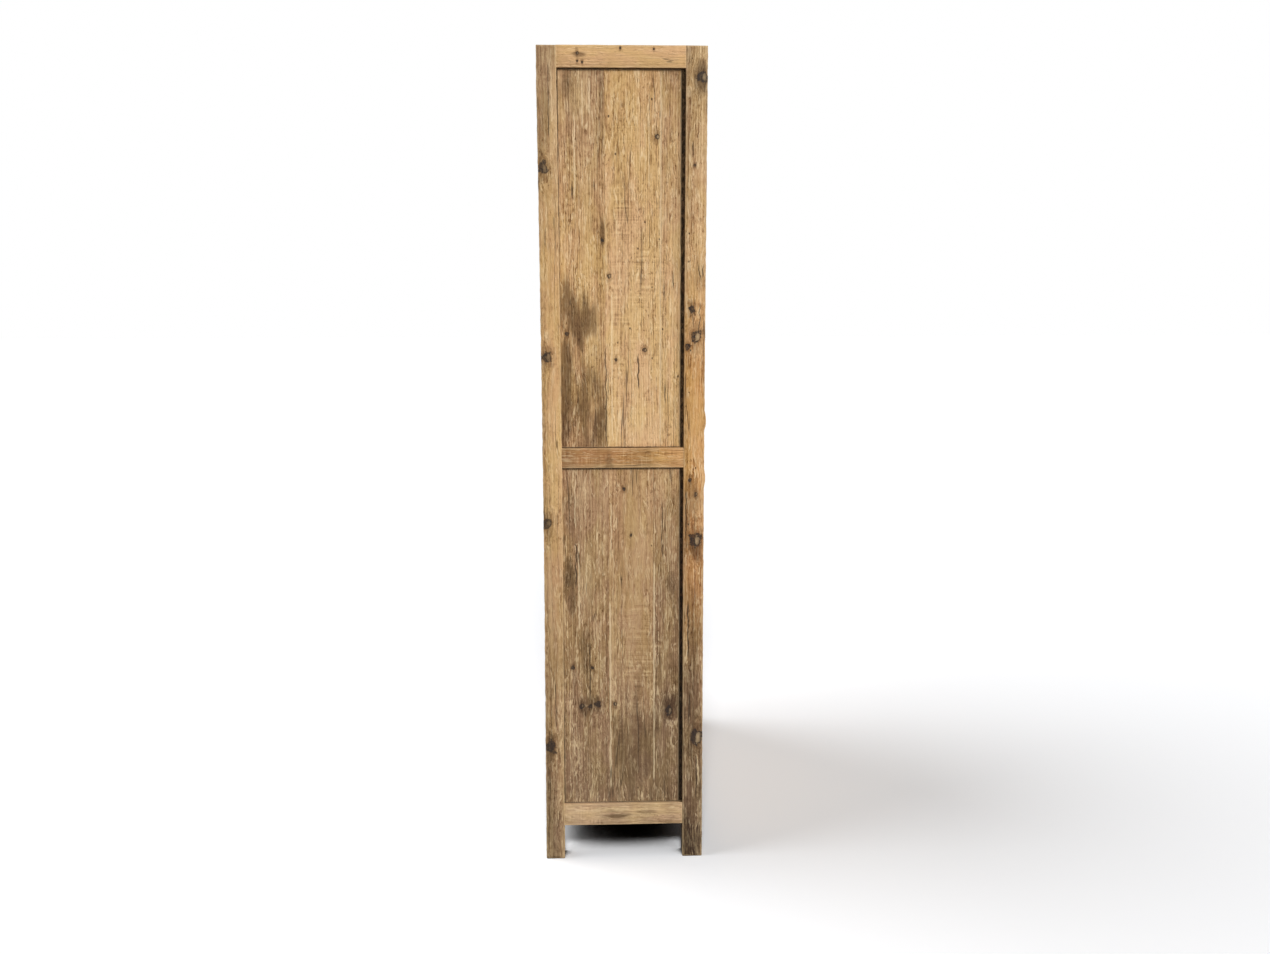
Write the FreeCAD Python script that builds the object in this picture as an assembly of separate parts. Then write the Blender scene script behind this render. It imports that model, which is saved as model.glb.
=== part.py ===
import FreeCAD, Part

import math
import os

# A tall free-standing drawer cabinet of old pine, as used in shops.
# Four square posts run from the floor to the top. Rails tenoned between them
# hold loose panels of upright boards at the two sides and the back. The front
# holds fourteen inset drawers in two columns: four rows above the middle rail
# and three deeper rows below it. Each drawer slides on wooden runners and has
# one turned iron knob.
# Lengths are millimetres. X runs across the front, Y from front to back, Z up.
# The origin is on the floor under the middle of the overall box, knobs included.

# Overall size, posts to posts
height = 2000.0
width = 1000.0
depth = 400.0

# Posts
post_width = 48.0
front_post_depth = 52.0
rear_post_depth = 48.0
post_arris = 2.0

# Rails of all four sides
rail_thickness = 30.0
rail_setback = 1.5
top_rail_height = 51.0
middle_rail_height = 49.0
middle_rail_base = 1012.0
bottom_rail_height = 57.0
bottom_rail_base = 89.0

# Mortise and tenon joints
tenon_thickness = 12.0
rail_tenon_shoulder = 9.0
side_tenon_length = 30.0
cross_tenon_length = 22.0
joint_gap = 0.2

# Panels of upright boards, let into grooves in the posts and rails
panel_setback = 10.0
panel_thickness = 14.0
tongue_thickness = 6.0
tongue_depth = 7.0
groove_depth = 8.0
panel_edge_gap = 0.6
front_quirk_width = 8.0
left_upper_board_shares = (0.170, 0.453, 0.377)
left_lower_board_shares = (0.226, 0.377, 0.397)
right_upper_board_shares = (0.360, 0.240, 0.400)
right_lower_board_shares = (0.290, 0.430, 0.280)
back_upper_board_shares = (0.160, 0.190, 0.140, 0.180, 0.150, 0.180)
back_lower_board_shares = (0.180, 0.150, 0.190, 0.130, 0.170, 0.180)

# Top boards in rebates of the top rails, bottom boards in grooves of the bottom rails
cover_thickness = 16.0
cover_ledge = 12.0
bottom_board_lift = 8.0
top_board_shares = (0.310, 0.360, 0.330)
bottom_board_shares = (0.350, 0.300, 0.350)

# Drawer rows and the front frame between them
upper_rows = 4
lower_rows = 3
centre_stile_width = 40.0
stile_tenon_width = 24.0
stile_tenon_length = 12.0
divider_height = 24.0
divider_tenon_shoulder = 6.0
divider_tenon_length = 12.0

# Runners, guides and stops
runner_width = 22.0
runner_height = 20.0
guide_height = 15.0
rear_centre_post_depth = 28.0
bearer_tenon_width = 24.0
bearer_tenon_height = 10.0
bearer_tenon_length = 8.0
stop_width = 30.0
stop_depth = 8.0
stop_height = 6.0
stop_gap = 0.3
stop_offset_share = 0.28

# Countersunk screws that hold the side runners to the posts
screw_radius = 2.0
screw_head_radius = 4.0
screw_head_depth = 3.0
screw_length = 34.0
screw_gap = 0.1

# Drawers
drawer_setback = 3.0
drawer_back_room = 13.5
drawer_front_thickness = 20.0
drawer_front_lap = 8.0
drawer_side_gap = 2.0
drawer_top_gap = 2.5
drawer_bottom_gap = 1.0
drawer_running_gap = 0.3
drawer_wood_thickness = 12.0
drawer_side_drop = 12.0
drawer_bottom_thickness = 8.0
drawer_bottom_lift = 10.0
drawer_groove_depth = 6.0
drawer_back_inset = 8.0
drawer_arris = 1.5

# Turned knob on a round rose, drawn up by a nut behind the drawer front
knob_reach = 26.0
knob_head_radius = 17.0
knob_head_thickness = 13.0
knob_crown = 4.0
crown_radius_share = 0.65
crown_height_share = 0.70
knob_neck_radius = 7.0
knob_foot_radius = 10.0
knob_foot_length = 4.0
rose_radius = 21.0
rose_thickness = 2.5
rose_rim_share = 0.35
rose_gap = 0.3
shank_radius = 3.0
shank_hole_radius = 3.4
shank_end = 8.0
washer_radius = 8.0
washer_thickness = 1.5
nut_across_flats = 10.0
nut_thickness = 5.0
thread_gap = 0.1

# Cuts run past the faces that they open by this much
overrun = 1.0

x_right = width / 2
x_left = -x_right
y_front = -(depth + knob_reach - drawer_setback) / 2 + knob_reach - drawer_setback
y_rear = y_front + depth
rail_inner = rail_setback + rail_thickness
tongue_inner = panel_setback + panel_thickness
top_rail_base = height - top_rail_height
middle_rail_top = middle_rail_base + middle_rail_height
bottom_rail_top = bottom_rail_base + bottom_rail_height
bottom_board_base = bottom_rail_base + bottom_board_lift
column_width = (width - 2 * post_width - centre_stile_width) / 2
drawer_length = depth - drawer_setback - rail_inner - drawer_back_room
COLUMNS = ("left", "right")


def block(x0, x1, y0, y1, z0, z1):
    corner = FreeCAD.Vector(min(x0, x1), min(y0, y1), min(z0, z1))
    return Part.makeBox(abs(x1 - x0), abs(y1 - y0), abs(z1 - z0), corner)


def slab(side, u0, u1, t0, t1, z0, z1):
    """A block at one side: u runs level along that side, t inward from the face of the posts."""
    if side == "left":
        return block(x_left + t0, x_left + t1, u0, u1, z0, z1)
    if side == "right":
        return block(x_right - t0, x_right - t1, u0, u1, z0, z1)
    if side == "front":
        return block(u0, u1, y_front + t0, y_front + t1, z0, z1)
    return block(u0, u1, y_rear - t0, y_rear - t1, z0, z1)


def span(side):
    """The clear distance between the posts of one side, as two places along u."""
    if side in ("left", "right"):
        return y_front + front_post_depth, y_rear - rear_post_depth
    return x_left + post_width, x_right - post_width


def one_solid(shape):
    return shape.removeSplitter().Solids[0]


def cut_by(shape, tools):
    near = [tool for tool in tools if shape.BoundBox.intersect(tool.BoundBox)]
    return one_solid(shape.cut(near)) if near else shape


def tenon_bar(side, u0, u1, z0, z1, length, shoulder, grow):
    """The bar that both tenons of a level member belong to; grown, it cuts their mortises."""
    middle = rail_setback + rail_thickness / 2
    half = tenon_thickness / 2 + grow
    return slab(
        side,
        u0 - length - grow,
        u1 + length + grow,
        middle - half,
        middle + half,
        z0 + shoulder - grow,
        z1 - shoulder + grow,
    )


def level_member(side, u0, u1, z0, z1, length, shoulder):
    """A rail or divider with a tenon at each end, and the tool that cuts its mortises."""
    body = slab(side, u0, u1, rail_setback, rail_inner, z0, z1)
    member = one_solid(body.fuse(tenon_bar(side, u0, u1, z0, z1, length, shoulder, 0)))
    return member, tenon_bar(side, u0, u1, z0, z1, length, shoulder, joint_gap)


def rail_heights():
    return {
        "top": (top_rail_base, height),
        "middle": (middle_rail_base, middle_rail_top),
        "bottom": (bottom_rail_base, bottom_rail_top),
    }


def panel_heights():
    return {
        "upper": (middle_rail_top, top_rail_base),
        "lower": (bottom_rail_top, middle_rail_base),
    }


def groove_plate(side, z0, z1):
    """Cuts the groove for one panel in the posts and rails around it."""
    u0, u1 = span(side)
    return slab(
        side,
        u0 - groove_depth,
        u1 + groove_depth,
        tongue_inner - tongue_thickness - joint_gap,
        tongue_inner + joint_gap,
        z0 - groove_depth,
        z1 + groove_depth,
    )


def panel(side, z0, z1, shares, front_gap):
    """Upright boards edge to edge, each with a thinner tongue that sits in the grooves."""
    u0, u1 = span(side)
    start = u0 + front_gap
    field = u1 - panel_edge_gap - start
    boards = []
    edge = start
    for number, share in enumerate(shares):
        next_edge = edge + field * share
        first = number == 0
        last = number == len(shares) - 1
        tongue = slab(
            side,
            u0 - tongue_depth if first else edge,
            u1 + tongue_depth if last else next_edge,
            tongue_inner - tongue_thickness,
            tongue_inner,
            z0 - tongue_depth,
            z1 + tongue_depth,
        )
        face = slab(
            side,
            edge,
            next_edge,
            panel_setback,
            tongue_inner,
            z0 + panel_edge_gap,
            z1 - panel_edge_gap,
        )
        boards.append(one_solid(face.fuse(tongue)))
        edge = next_edge
    return boards


def post_block(x_side, y_side, grow):
    """One post as a plain square bar, grown for the notches around it."""
    x_outer = x_left if x_side == "left" else x_right
    x_inner = x_outer + post_width if x_side == "left" else x_outer - post_width
    x_grow = grow if x_side == "left" else -grow
    if y_side == "front":
        return block(x_outer, x_inner + x_grow, y_front, y_front + front_post_depth + grow, 0, height)
    return block(x_outer, x_inner + x_grow, y_rear, y_rear - rear_post_depth - grow, 0, height)


def post(x_side, y_side, tools):
    bar = post_block(x_side, y_side, 0)
    upright = [e for e in bar.Edges if abs(e.Length - height) < overrun]
    return cut_by(bar.makeChamfer(post_arris, upright), tools)


def cover_plate(z0, z1, grow):
    """The space of the top or bottom boards, which reach a ledge's width into the rails."""
    inset = rail_inner - cover_ledge - grow
    return block(x_left + inset, x_right - inset, y_front + inset, y_rear - inset, z0, z1)


def cover_boards(z0, z1, shares):
    """Boards that run the width of the cabinet, notched around the four posts."""
    inset = rail_inner - cover_ledge
    run = depth - 2 * inset
    corners = [post_block(x_side, y_side, joint_gap) for x_side in COLUMNS for y_side in ("front", "rear")]
    boards = []
    edge = y_front + inset
    for share in shares:
        next_edge = edge + run * share
        board = block(x_left + inset, x_right - inset, edge, next_edge, z0, z1)
        boards.append(cut_by(board, corners))
        edge = next_edge
    return boards


def rows_between(z0, z1, count):
    """The floor level and the clear height of each drawer row in one section, lowest first."""
    clear = (z1 - z0 - (count - 1) * divider_height) / count
    return [(z0 + i * (clear + divider_height), clear) for i in range(count)]


def drawer_rows():
    """All the rows from the top down, as they are numbered."""
    lower = rows_between(bottom_rail_top, middle_rail_base, lower_rows)
    upper = rows_between(middle_rail_top, top_rail_base, upper_rows)
    return list(reversed(lower + upper))


def column_span(column):
    if column == "left":
        return x_left + post_width, -centre_stile_width / 2
    return centre_stile_width / 2, x_right - post_width


def centre_stile(z0, z1, grow):
    """One half of the front's middle upright; grown, it cuts its mortises in the rails."""
    half = centre_stile_width / 2
    middle = rail_setback + rail_thickness / 2
    tenon = slab(
        "front",
        -stile_tenon_width / 2 - grow,
        stile_tenon_width / 2 + grow,
        middle - tenon_thickness / 2 - grow,
        middle + tenon_thickness / 2 + grow,
        z0 - stile_tenon_length - grow,
        z1 + stile_tenon_length + grow,
    )
    if grow:
        return tenon
    return one_solid(slab("front", -half, half, rail_setback, rail_inner, z0, z1).fuse(tenon))


def divider_levels():
    """The lower and upper face of every divider between two drawer rows."""
    levels = []
    for z0, z1, count in (
        (bottom_rail_top, middle_rail_base, lower_rows),
        (middle_rail_top, top_rail_base, upper_rows),
    ):
        for base, _ in rows_between(z0, z1, count)[1:]:
            levels.append((base - divider_height, base))
    return levels


def rear_centre_post():
    """The upright inside the back that carries the rear ends of the centre runners."""
    half = centre_stile_width / 2
    return slab(
        "rear",
        -half,
        half,
        rail_inner,
        rail_inner + rear_centre_post_depth,
        bottom_board_base + cover_thickness,
        height - cover_thickness,
    )


def screw_places(x_side):
    """The head centre of each runner screw of one side, level by level, and its direction."""
    x_head = x_left + post_width + runner_width
    inward = -1
    if x_side == "right":
        x_head = -x_head
        inward = 1
    y_places = (
        y_front + (rail_inner + front_post_depth) / 2,
        y_rear - (rail_inner + rear_post_depth) / 2,
    )
    direction = FreeCAD.Vector(inward, 0, 0)
    places = []
    for level, _ in drawer_rows():
        for y in y_places:
            places.append((FreeCAD.Vector(x_head, y, level - runner_height / 2), direction))
    return places


def screw(place, direction, grow):
    head = Part.makeCone(screw_head_radius + grow, screw_radius + grow, screw_head_depth, place, direction)
    shank = Part.makeCylinder(screw_radius + grow, screw_length + grow, place, direction)
    return one_solid(head.fuse(shank))


def side_runners(x_side, holes):
    x0 = x_left + post_width
    x1 = x0 + runner_width
    if x_side == "right":
        x0, x1 = -x0, -x1
    runners = []
    for level, _ in drawer_rows():
        bar = block(x0, x1, y_front + rail_inner, y_rear - rail_inner, level - runner_height, level)
        runners.append(cut_by(bar, holes))
    return runners


def bearer_tenon(level, grow):
    """The bar that both stub tenons of a centre bearer belong to; grown, it cuts their mortises."""
    half = bearer_tenon_width / 2 + grow
    reach = bearer_tenon_length + grow
    middle = level - runner_height / 2
    return block(
        -half,
        half,
        y_front + rail_inner - reach,
        y_rear - rail_inner - rear_centre_post_depth + reach,
        middle - bearer_tenon_height / 2 - grow,
        middle + bearer_tenon_height / 2 + grow,
    )


def centre_runners():
    """A wide bearer that both columns share, with the guide strip between the drawers."""
    half = centre_stile_width / 2
    y0 = y_front + rail_inner
    y1 = y_rear - rail_inner - rear_centre_post_depth
    solids = []
    for level, _ in drawer_rows():
        bearer = block(-half - runner_width, half + runner_width, y0, y1, level - runner_height, level)
        guide = block(-half, half, y0, y1, level, level + guide_height)
        solids += [one_solid(bearer.fuse(bearer_tenon(level, 0))), guide]
    return solids


def drawer_stops():
    t0 = drawer_setback + drawer_front_thickness + stop_gap
    stops = []
    for level, _ in drawer_rows():
        for column in COLUMNS:
            u0, u1 = column_span(column)
            for sign in (-1, 1):
                middle = (u0 + u1) / 2 + sign * stop_offset_share * column_width
                stops.append(
                    slab(
                        "front",
                        middle - stop_width / 2,
                        middle + stop_width / 2,
                        t0,
                        t0 + stop_depth,
                        level,
                        level + stop_height,
                    )
                )
    return stops


def drawer_frame(column, level, clear):
    """The outer planes of one drawer: its front's edges and its depth, as named places."""
    u0, u1 = column_span(column)
    return {
        "x0": u0 + drawer_side_gap,
        "x1": u1 - drawer_side_gap,
        "y0": y_front + drawer_setback,
        "y1": y_front + drawer_setback + drawer_length,
        "front_low": level + drawer_bottom_gap,
        "front_high": level + clear - drawer_top_gap,
        "side_low": level + drawer_running_gap,
        "side_high": level + clear - drawer_top_gap - drawer_side_drop,
        "floor": level + drawer_running_gap + drawer_bottom_lift,
    }


def knob_place(column, level, clear):
    u0, u1 = column_span(column)
    return FreeCAD.Vector((u0 + u1) / 2, y_front + drawer_setback, level + clear / 2)


def drawer_front(d, bottom_space, shank_hole):
    """The show board, rebated at both ends for the sides and grooved for the bottom."""
    board = block(
        d["x0"],
        d["x1"],
        d["y0"],
        d["y0"] + drawer_front_thickness,
        d["front_low"],
        d["front_high"],
    )
    face_edges = [e for e in board.Edges if e.BoundBox.YMax < d["y0"] + overrun]
    board = board.makeChamfer(drawer_arris, face_edges)
    y_lap = d["y0"] + drawer_front_lap
    y_cut = d["y0"] + drawer_front_thickness + overrun
    z0 = d["side_low"] - overrun
    z1 = d["side_high"]
    laps = [
        block(d["x0"] - overrun, d["x0"] + drawer_wood_thickness, y_lap, y_cut, z0, z1),
        block(d["x1"] + overrun, d["x1"] - drawer_wood_thickness, y_lap, y_cut, z0, z1),
    ]
    return cut_by(board, laps + [bottom_space, shank_hole])


def drawer_box(column, level, clear):
    """The five boards of one drawer: front, two sides, back and bottom."""
    d = drawer_frame(column, level, clear)
    wood = drawer_wood_thickness
    tongue = drawer_groove_depth - joint_gap
    y_lap = d["y0"] + drawer_front_lap
    y_back = d["y1"] - drawer_back_inset
    z_top = d["floor"] + drawer_bottom_thickness
    bottom_space = block(
        d["x0"] + wood - drawer_groove_depth,
        d["x1"] - wood + drawer_groove_depth,
        d["y0"] + drawer_front_thickness - drawer_groove_depth,
        d["y1"] + overrun,
        d["floor"],
        z_top + joint_gap,
    )
    bottom = block(
        d["x0"] + wood - tongue,
        d["x1"] - wood + tongue,
        d["y0"] + drawer_front_thickness - tongue,
        y_back,
        d["floor"],
        z_top,
    )
    hole_start = knob_place(column, level, clear) - FreeCAD.Vector(0, overrun, 0)
    shank_hole = Part.makeCylinder(
        shank_hole_radius,
        drawer_front_thickness + 2 * overrun,
        hole_start,
        FreeCAD.Vector(0, 1, 0),
    )
    front = drawer_front(d, bottom_space, shank_hole)
    sides = [
        cut_by(block(x, x + wood, y_lap, d["y1"], d["side_low"], d["side_high"]), [bottom_space])
        for x in (d["x0"], d["x1"] - wood)
    ]
    back = block(d["x0"] + wood, d["x1"] - wood, y_back - wood, y_back, z_top, d["side_high"])
    return [front] + sides + [back, bottom]


def turned(outline, place):
    """Turns a half outline of (radius, reach) corners about the knob's axis at its place."""
    points = [FreeCAD.Vector(r, -reach, 0) for r, reach in outline]
    face = Part.Face(Part.makePolygon(points + [points[0]]))
    solid = face.revolve(FreeCAD.Vector(0, 0, 0), FreeCAD.Vector(0, 1, 0), 360)
    solid = Part.makeSolid(solid) if solid.ShapeType == "Shell" else solid
    solid.translate(place)
    return solid.Solids[0]


def knob_outline():
    """A short pedestal, a waist, a round head made of an arc, and the shank behind."""
    head_base = knob_reach - knob_head_thickness
    crown_base = knob_reach - knob_crown
    arc_half = (crown_base - head_base) / 2
    arc_middle = head_base + arc_half
    rim = knob_head_radius - arc_half
    steps = 8
    turns = [math.pi * (i / steps - 0.5) for i in range(steps + 1)]
    head = [(rim + arc_half * math.cos(a), arc_middle + arc_half * math.sin(a)) for a in turns]
    return (
        [(0, -drawer_front_thickness - shank_end), (shank_radius, -drawer_front_thickness - shank_end)]
        + [(shank_radius, rose_thickness), (knob_foot_radius, rose_thickness)]
        + [(knob_neck_radius, rose_thickness + knob_foot_length), (knob_neck_radius, head_base)]
        + head
        + [(rim * crown_radius_share, crown_base + knob_crown * crown_height_share), (0, knob_reach)]
    )


def hex_nut(place):
    corner = nut_across_flats / math.sqrt(3)
    turns = [math.pi * i / 3 for i in range(7)]
    points = [FreeCAD.Vector(corner * math.cos(a), 0, corner * math.sin(a)) for a in turns]
    prism = Part.Face(Part.makePolygon(points)).extrude(FreeCAD.Vector(0, nut_thickness, 0))
    hole = Part.makeCylinder(
        shank_radius + thread_gap,
        nut_thickness + 2 * overrun,
        FreeCAD.Vector(0, -overrun, 0),
        FreeCAD.Vector(0, 1, 0),
    )
    nut = prism.cut(hole)
    nut.translate(place)
    return nut.Solids[0]


def knob_set(column, level, clear):
    """The knob with its shank, the rose in front, and the washer and nut behind the board."""
    place = knob_place(column, level, clear)
    behind = place + FreeCAD.Vector(0, drawer_front_thickness, 0)
    knob = turned(knob_outline(), place)
    rose = turned(
        [
            (shank_radius + rose_gap, 0),
            (rose_radius, 0),
            (rose_radius, rose_thickness * rose_rim_share),
            (knob_foot_radius, rose_thickness),
            (shank_radius + rose_gap, rose_thickness),
        ],
        place,
    )
    washer = turned(
        [
            (shank_radius + thread_gap, 0),
            (washer_radius, 0),
            (washer_radius, -washer_thickness),
            (shank_radius + thread_gap, -washer_thickness),
        ],
        behind,
    )
    nut = hex_nut(behind + FreeCAD.Vector(0, washer_thickness, 0))
    return [knob, rose, washer, nut]


def frame_parts():
    """Posts, rails, panels and everything else that stands still, by node name."""
    parts = {}
    mortises = []
    grooves = []
    for side in ("left", "right", "rear"):
        for z0, z1 in panel_heights().values():
            grooves.append(groove_plate(side, z0, z1))
    rebates = [
        cover_plate(height - cover_thickness - joint_gap, height + overrun, joint_gap),
        cover_plate(
            bottom_board_base - joint_gap,
            bottom_board_base + cover_thickness + joint_gap,
            joint_gap,
        ),
    ]
    bearer_tools = [bearer_tenon(level, joint_gap) for level, _ in drawer_rows()]
    stile_tools = [centre_stile(z0, z1, joint_gap) for z0, z1 in panel_heights().values()]
    for side in ("left", "right", "front", "rear"):
        length = side_tenon_length if side in ("left", "right") else cross_tenon_length
        for name, (z0, z1) in rail_heights().items():
            rail, mortise = level_member(side, *span(side), z0, z1, length, rail_tenon_shoulder)
            tools = grooves + rebates + (stile_tools + bearer_tools if side == "front" else [])
            parts[side + "_" + name + "_rail"] = [cut_by(rail, tools)]
            mortises.append(mortise)
    dividers = []
    for z0, z1 in divider_levels():
        for column in COLUMNS:
            divider, mortise = level_member(
                "front", *column_span(column), z0, z1, divider_tenon_length, divider_tenon_shoulder
            )
            dividers.append(divider)
            mortises.append(mortise)
    parts["drawer_dividers"] = dividers
    parts["front_centre_stiles"] = [
        cut_by(centre_stile(z0, z1, 0), mortises + bearer_tools) for z0, z1 in panel_heights().values()
    ]
    for x_side in COLUMNS:
        places = screw_places(x_side)
        holes = [screw(place, direction, screw_gap) for place, direction in places]
        screws = [screw(place, direction, 0) for place, direction in places]
        parts[x_side + "_runners"] = side_runners(x_side, holes)
        parts["runner_screws"] = parts.get("runner_screws", []) + screws
        for y_side in ("front", "rear"):
            parts[y_side + "_" + x_side + "_post"] = [post(x_side, y_side, mortises + grooves + holes)]
    parts["centre_runners"] = centre_runners()
    parts["rear_centre_post"] = [cut_by(rear_centre_post(), bearer_tools)]
    parts["drawer_stops"] = drawer_stops()
    parts["top_boards"] = cover_boards(height - cover_thickness, height, top_board_shares)
    parts["bottom_boards"] = cover_boards(
        bottom_board_base, bottom_board_base + cover_thickness, bottom_board_shares
    )
    return parts


def panel_parts():
    shares = {
        ("left", "upper"): left_upper_board_shares,
        ("left", "lower"): left_lower_board_shares,
        ("right", "upper"): right_upper_board_shares,
        ("right", "lower"): right_lower_board_shares,
        ("rear", "upper"): back_upper_board_shares,
        ("rear", "lower"): back_lower_board_shares,
    }
    parts = {}
    for (side, section), board_shares in shares.items():
        z0, z1 = panel_heights()[section]
        front_gap = panel_edge_gap if side == "rear" else front_quirk_width
        name = ("back" if side == "rear" else side) + "_" + section + "_panel"
        parts[name] = panel(side, z0, z1, board_shares, front_gap)
    return parts


def drawer_parts():
    parts = {}
    for number, (level, clear) in enumerate(drawer_rows(), start=1):
        for column in COLUMNS:
            name = "drawer_" + str(number) + "_" + column
            parts[name] = drawer_box(column, level, clear)
            parts[name + "_knob"] = knob_set(column, level, clear)
    return parts


def main():
    os.makedirs("parts", exist_ok=True)
    parts = {}
    parts.update(frame_parts())
    parts.update(panel_parts())
    parts.update(drawer_parts())
    for name, solids in parts.items():
        shape = solids[0] if len(solids) == 1 else Part.makeCompound(solids)
        shape.exportStep("parts/" + name + ".step")
    print(len(parts), "nodes,", sum(len(solids) for solids in parts.values()), "solids")


if __name__ == "__main__":
    main()
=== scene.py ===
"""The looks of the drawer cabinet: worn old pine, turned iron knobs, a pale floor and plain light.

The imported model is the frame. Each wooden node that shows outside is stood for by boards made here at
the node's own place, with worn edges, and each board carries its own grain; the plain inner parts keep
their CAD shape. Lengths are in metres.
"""

import math
import random
from functools import partial

import bpy
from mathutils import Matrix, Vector


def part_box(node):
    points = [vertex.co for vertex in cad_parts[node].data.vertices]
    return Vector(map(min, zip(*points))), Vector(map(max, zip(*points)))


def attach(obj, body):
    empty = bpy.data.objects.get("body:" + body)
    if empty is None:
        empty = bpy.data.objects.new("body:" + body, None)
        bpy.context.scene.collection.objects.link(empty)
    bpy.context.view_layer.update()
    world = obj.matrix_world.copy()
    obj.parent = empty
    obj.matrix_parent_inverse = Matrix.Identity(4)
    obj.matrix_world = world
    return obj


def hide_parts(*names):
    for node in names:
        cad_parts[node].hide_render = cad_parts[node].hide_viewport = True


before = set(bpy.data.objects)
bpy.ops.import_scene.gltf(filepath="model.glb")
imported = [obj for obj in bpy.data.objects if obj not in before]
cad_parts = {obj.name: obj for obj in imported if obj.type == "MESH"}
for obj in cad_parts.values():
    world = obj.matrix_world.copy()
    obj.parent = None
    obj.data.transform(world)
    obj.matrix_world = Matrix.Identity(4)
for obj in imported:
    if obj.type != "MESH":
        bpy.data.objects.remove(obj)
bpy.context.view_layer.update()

# Sizes of the cabinet, as its own drawing has them
height = 2.000
post_width = 0.048
front_post_depth = 0.052
rear_post_depth = 0.048
rail_setback = 0.0015
rail_thickness = 0.030
panel_setback = 0.010
panel_thickness = 0.014
tongue_thickness = 0.006
panel_edge_gap = 0.0006
front_quirk_width = 0.008
cover_ledge = 0.012
cover_thickness = 0.016
centre_stile_width = 0.040
divider_height = 0.024
drawer_setback = 0.003
drawer_front_thickness = 0.020
drawer_front_lap = 0.008
drawer_side_gap = 0.002
drawer_top_gap = 0.0025
drawer_bottom_gap = 0.001
drawer_running_gap = 0.0003
drawer_side_drop = 0.012
drawer_wood_thickness = 0.012
drawer_bottom_lift = 0.010
drawer_bottom_thickness = 0.008
drawer_bottom_tongue = 0.005
drawer_bottom_start = 0.016
drawer_back_inset = 0.008
upper_rows = 4
lower_rows = 3
rail_heights = {"top": (1.949, 2.000), "middle": (1.012, 1.061), "bottom": (0.089, 0.146)}
panel_heights = {"upper": (1.061, 1.949), "lower": (0.146, 1.012)}
top_board_shares = (0.310, 0.360, 0.330)

# Turned knob and its fittings, as radius and reach from the face of the drawer
knob_outline = (
    (0.0100, 0.0020), (0.0100, 0.0040), (0.0084, 0.0056), (0.0070, 0.0068), (0.0068, 0.0092),
    (0.0072, 0.0116), (0.0094, 0.0134), (0.0132, 0.0142), (0.0158, 0.0156), (0.0169, 0.0176),
    (0.0167, 0.0198), (0.0152, 0.0218), (0.0120, 0.0238), (0.0075, 0.0252), (0.0030, 0.0259),
    (0.0008, 0.0260),
)
rose_outline = ((0.0210, 0.0000), (0.0210, 0.0008), (0.0196, 0.0014), (0.0150, 0.0019), (0.0100, 0.0025))
washer_outline = ((0.0080, 0.0000), (0.0080, 0.0012), (0.0074, 0.0015))
nut_outline = ((0.0054, 0.0000), (0.0056, 0.0004), (0.0056, 0.0046), (0.0050, 0.0050))
shank_outline = ((0.0030, 0.0000), (0.0030, 0.0072), (0.0024, 0.0080))

# How the old timber has worn and moved
post_arris = 0.0026
rail_arris = 0.0013
drawer_arris = 0.0016
board_arris = 0.0004
front_post_bow = 0.0015
rear_post_bow = 0.0034
chip_depth = 0.0012
board_chip_depth = 0.0006
timber_swell = 0.0003
board_swell = 0.0004
top_swell = 0.0006
seat_depth = 0.002
crack_strength = 0.7
saw_spacing = 0.008
# Width of a board's darkened border: soiling, and painted shade where a sunk board meets its frame
dust_and_shade_border = 0.012
board_seam = 0.0002
wide_board = 0.07
touching = 1e-5
chip_reach = 1.6
knot_column = 704
knot_swell_depth = 0.010
knot_swell_width = 0.020
knot_swell_fade = 0.025
tongue_overlap = 0.0001
field_unevenness = 0.0003
field_margin = 0.001

# How far out the head of a knob starts, how it is hammered, and how the copies of a drawer differ
knob_head_start = 0.013
hammered_depth = 0.0005
first_drawer_seed = 100
drawer_shades = (0.80, 1.06)
drawer_warmths = (-0.05, 0.05)

# How far apart the boards are cut before they age
board_step = 0.03
field_step = 0.022
drawer_board_step = 0.05
top_board_step = 0.04
seen_post_step = 0.008
far_post_step = 0.012
uncut_top_end = 0.06
notch_heights = (1.9, 2.1)

_, post_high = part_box("front_right_post")
post_low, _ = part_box("front_left_post")
x_left = post_low.x
x_right = post_high.x
y_front = post_low.y
y_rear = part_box("rear_left_post")[1].y
rail_inner = rail_setback + rail_thickness
tongue_inner = panel_setback + panel_thickness
X, Y, Z = 0, 1, 2
SIDES = ("left", "right", "front", "rear")
COLUMNS = ("left", "right")
BOARD_NOTES = ("board_place", "board_half", "board_luck", "board_tone")

chance = random.Random(41)

# The photo's camera, fitted to the corners of the side that it shows
camera_place = Vector((-3.389, 0.0945, 1.454))
camera_pitch = math.radians(9.12)
camera_yaw = math.radians(2.21)
camera_roll = math.radians(-0.08)
picture_width = 1270
picture_height = 954
focal_pixels = 1200.0
sensor_width = 36.0

level_reach = math.cos(camera_pitch)
forward = Vector(
    (level_reach * math.cos(camera_yaw), -level_reach * math.sin(camera_yaw), -math.sin(camera_pitch))
)
level_right = forward.cross(Vector((0, 0, 1))).normalized()
level_up = level_right.cross(forward)
camera_right = level_right * math.cos(camera_roll) + level_up * math.sin(camera_roll)
camera_up = level_up * math.cos(camera_roll) - level_right * math.sin(camera_roll)


def set_camera():
    data = bpy.data.cameras.new("photo_camera")
    data.sensor_width = sensor_width
    data.lens = focal_pixels * sensor_width / picture_width
    camera = bpy.data.objects.new("photo_camera", data)
    bpy.context.scene.collection.objects.link(camera)
    matrix = camera.matrix_world.copy()
    for column, direction in enumerate((camera_right, camera_up, -forward, camera_place)):
        for row in range(3):
            matrix[row][column] = direction[row]
    camera.matrix_world = matrix
    bpy.context.scene.camera = camera


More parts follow.
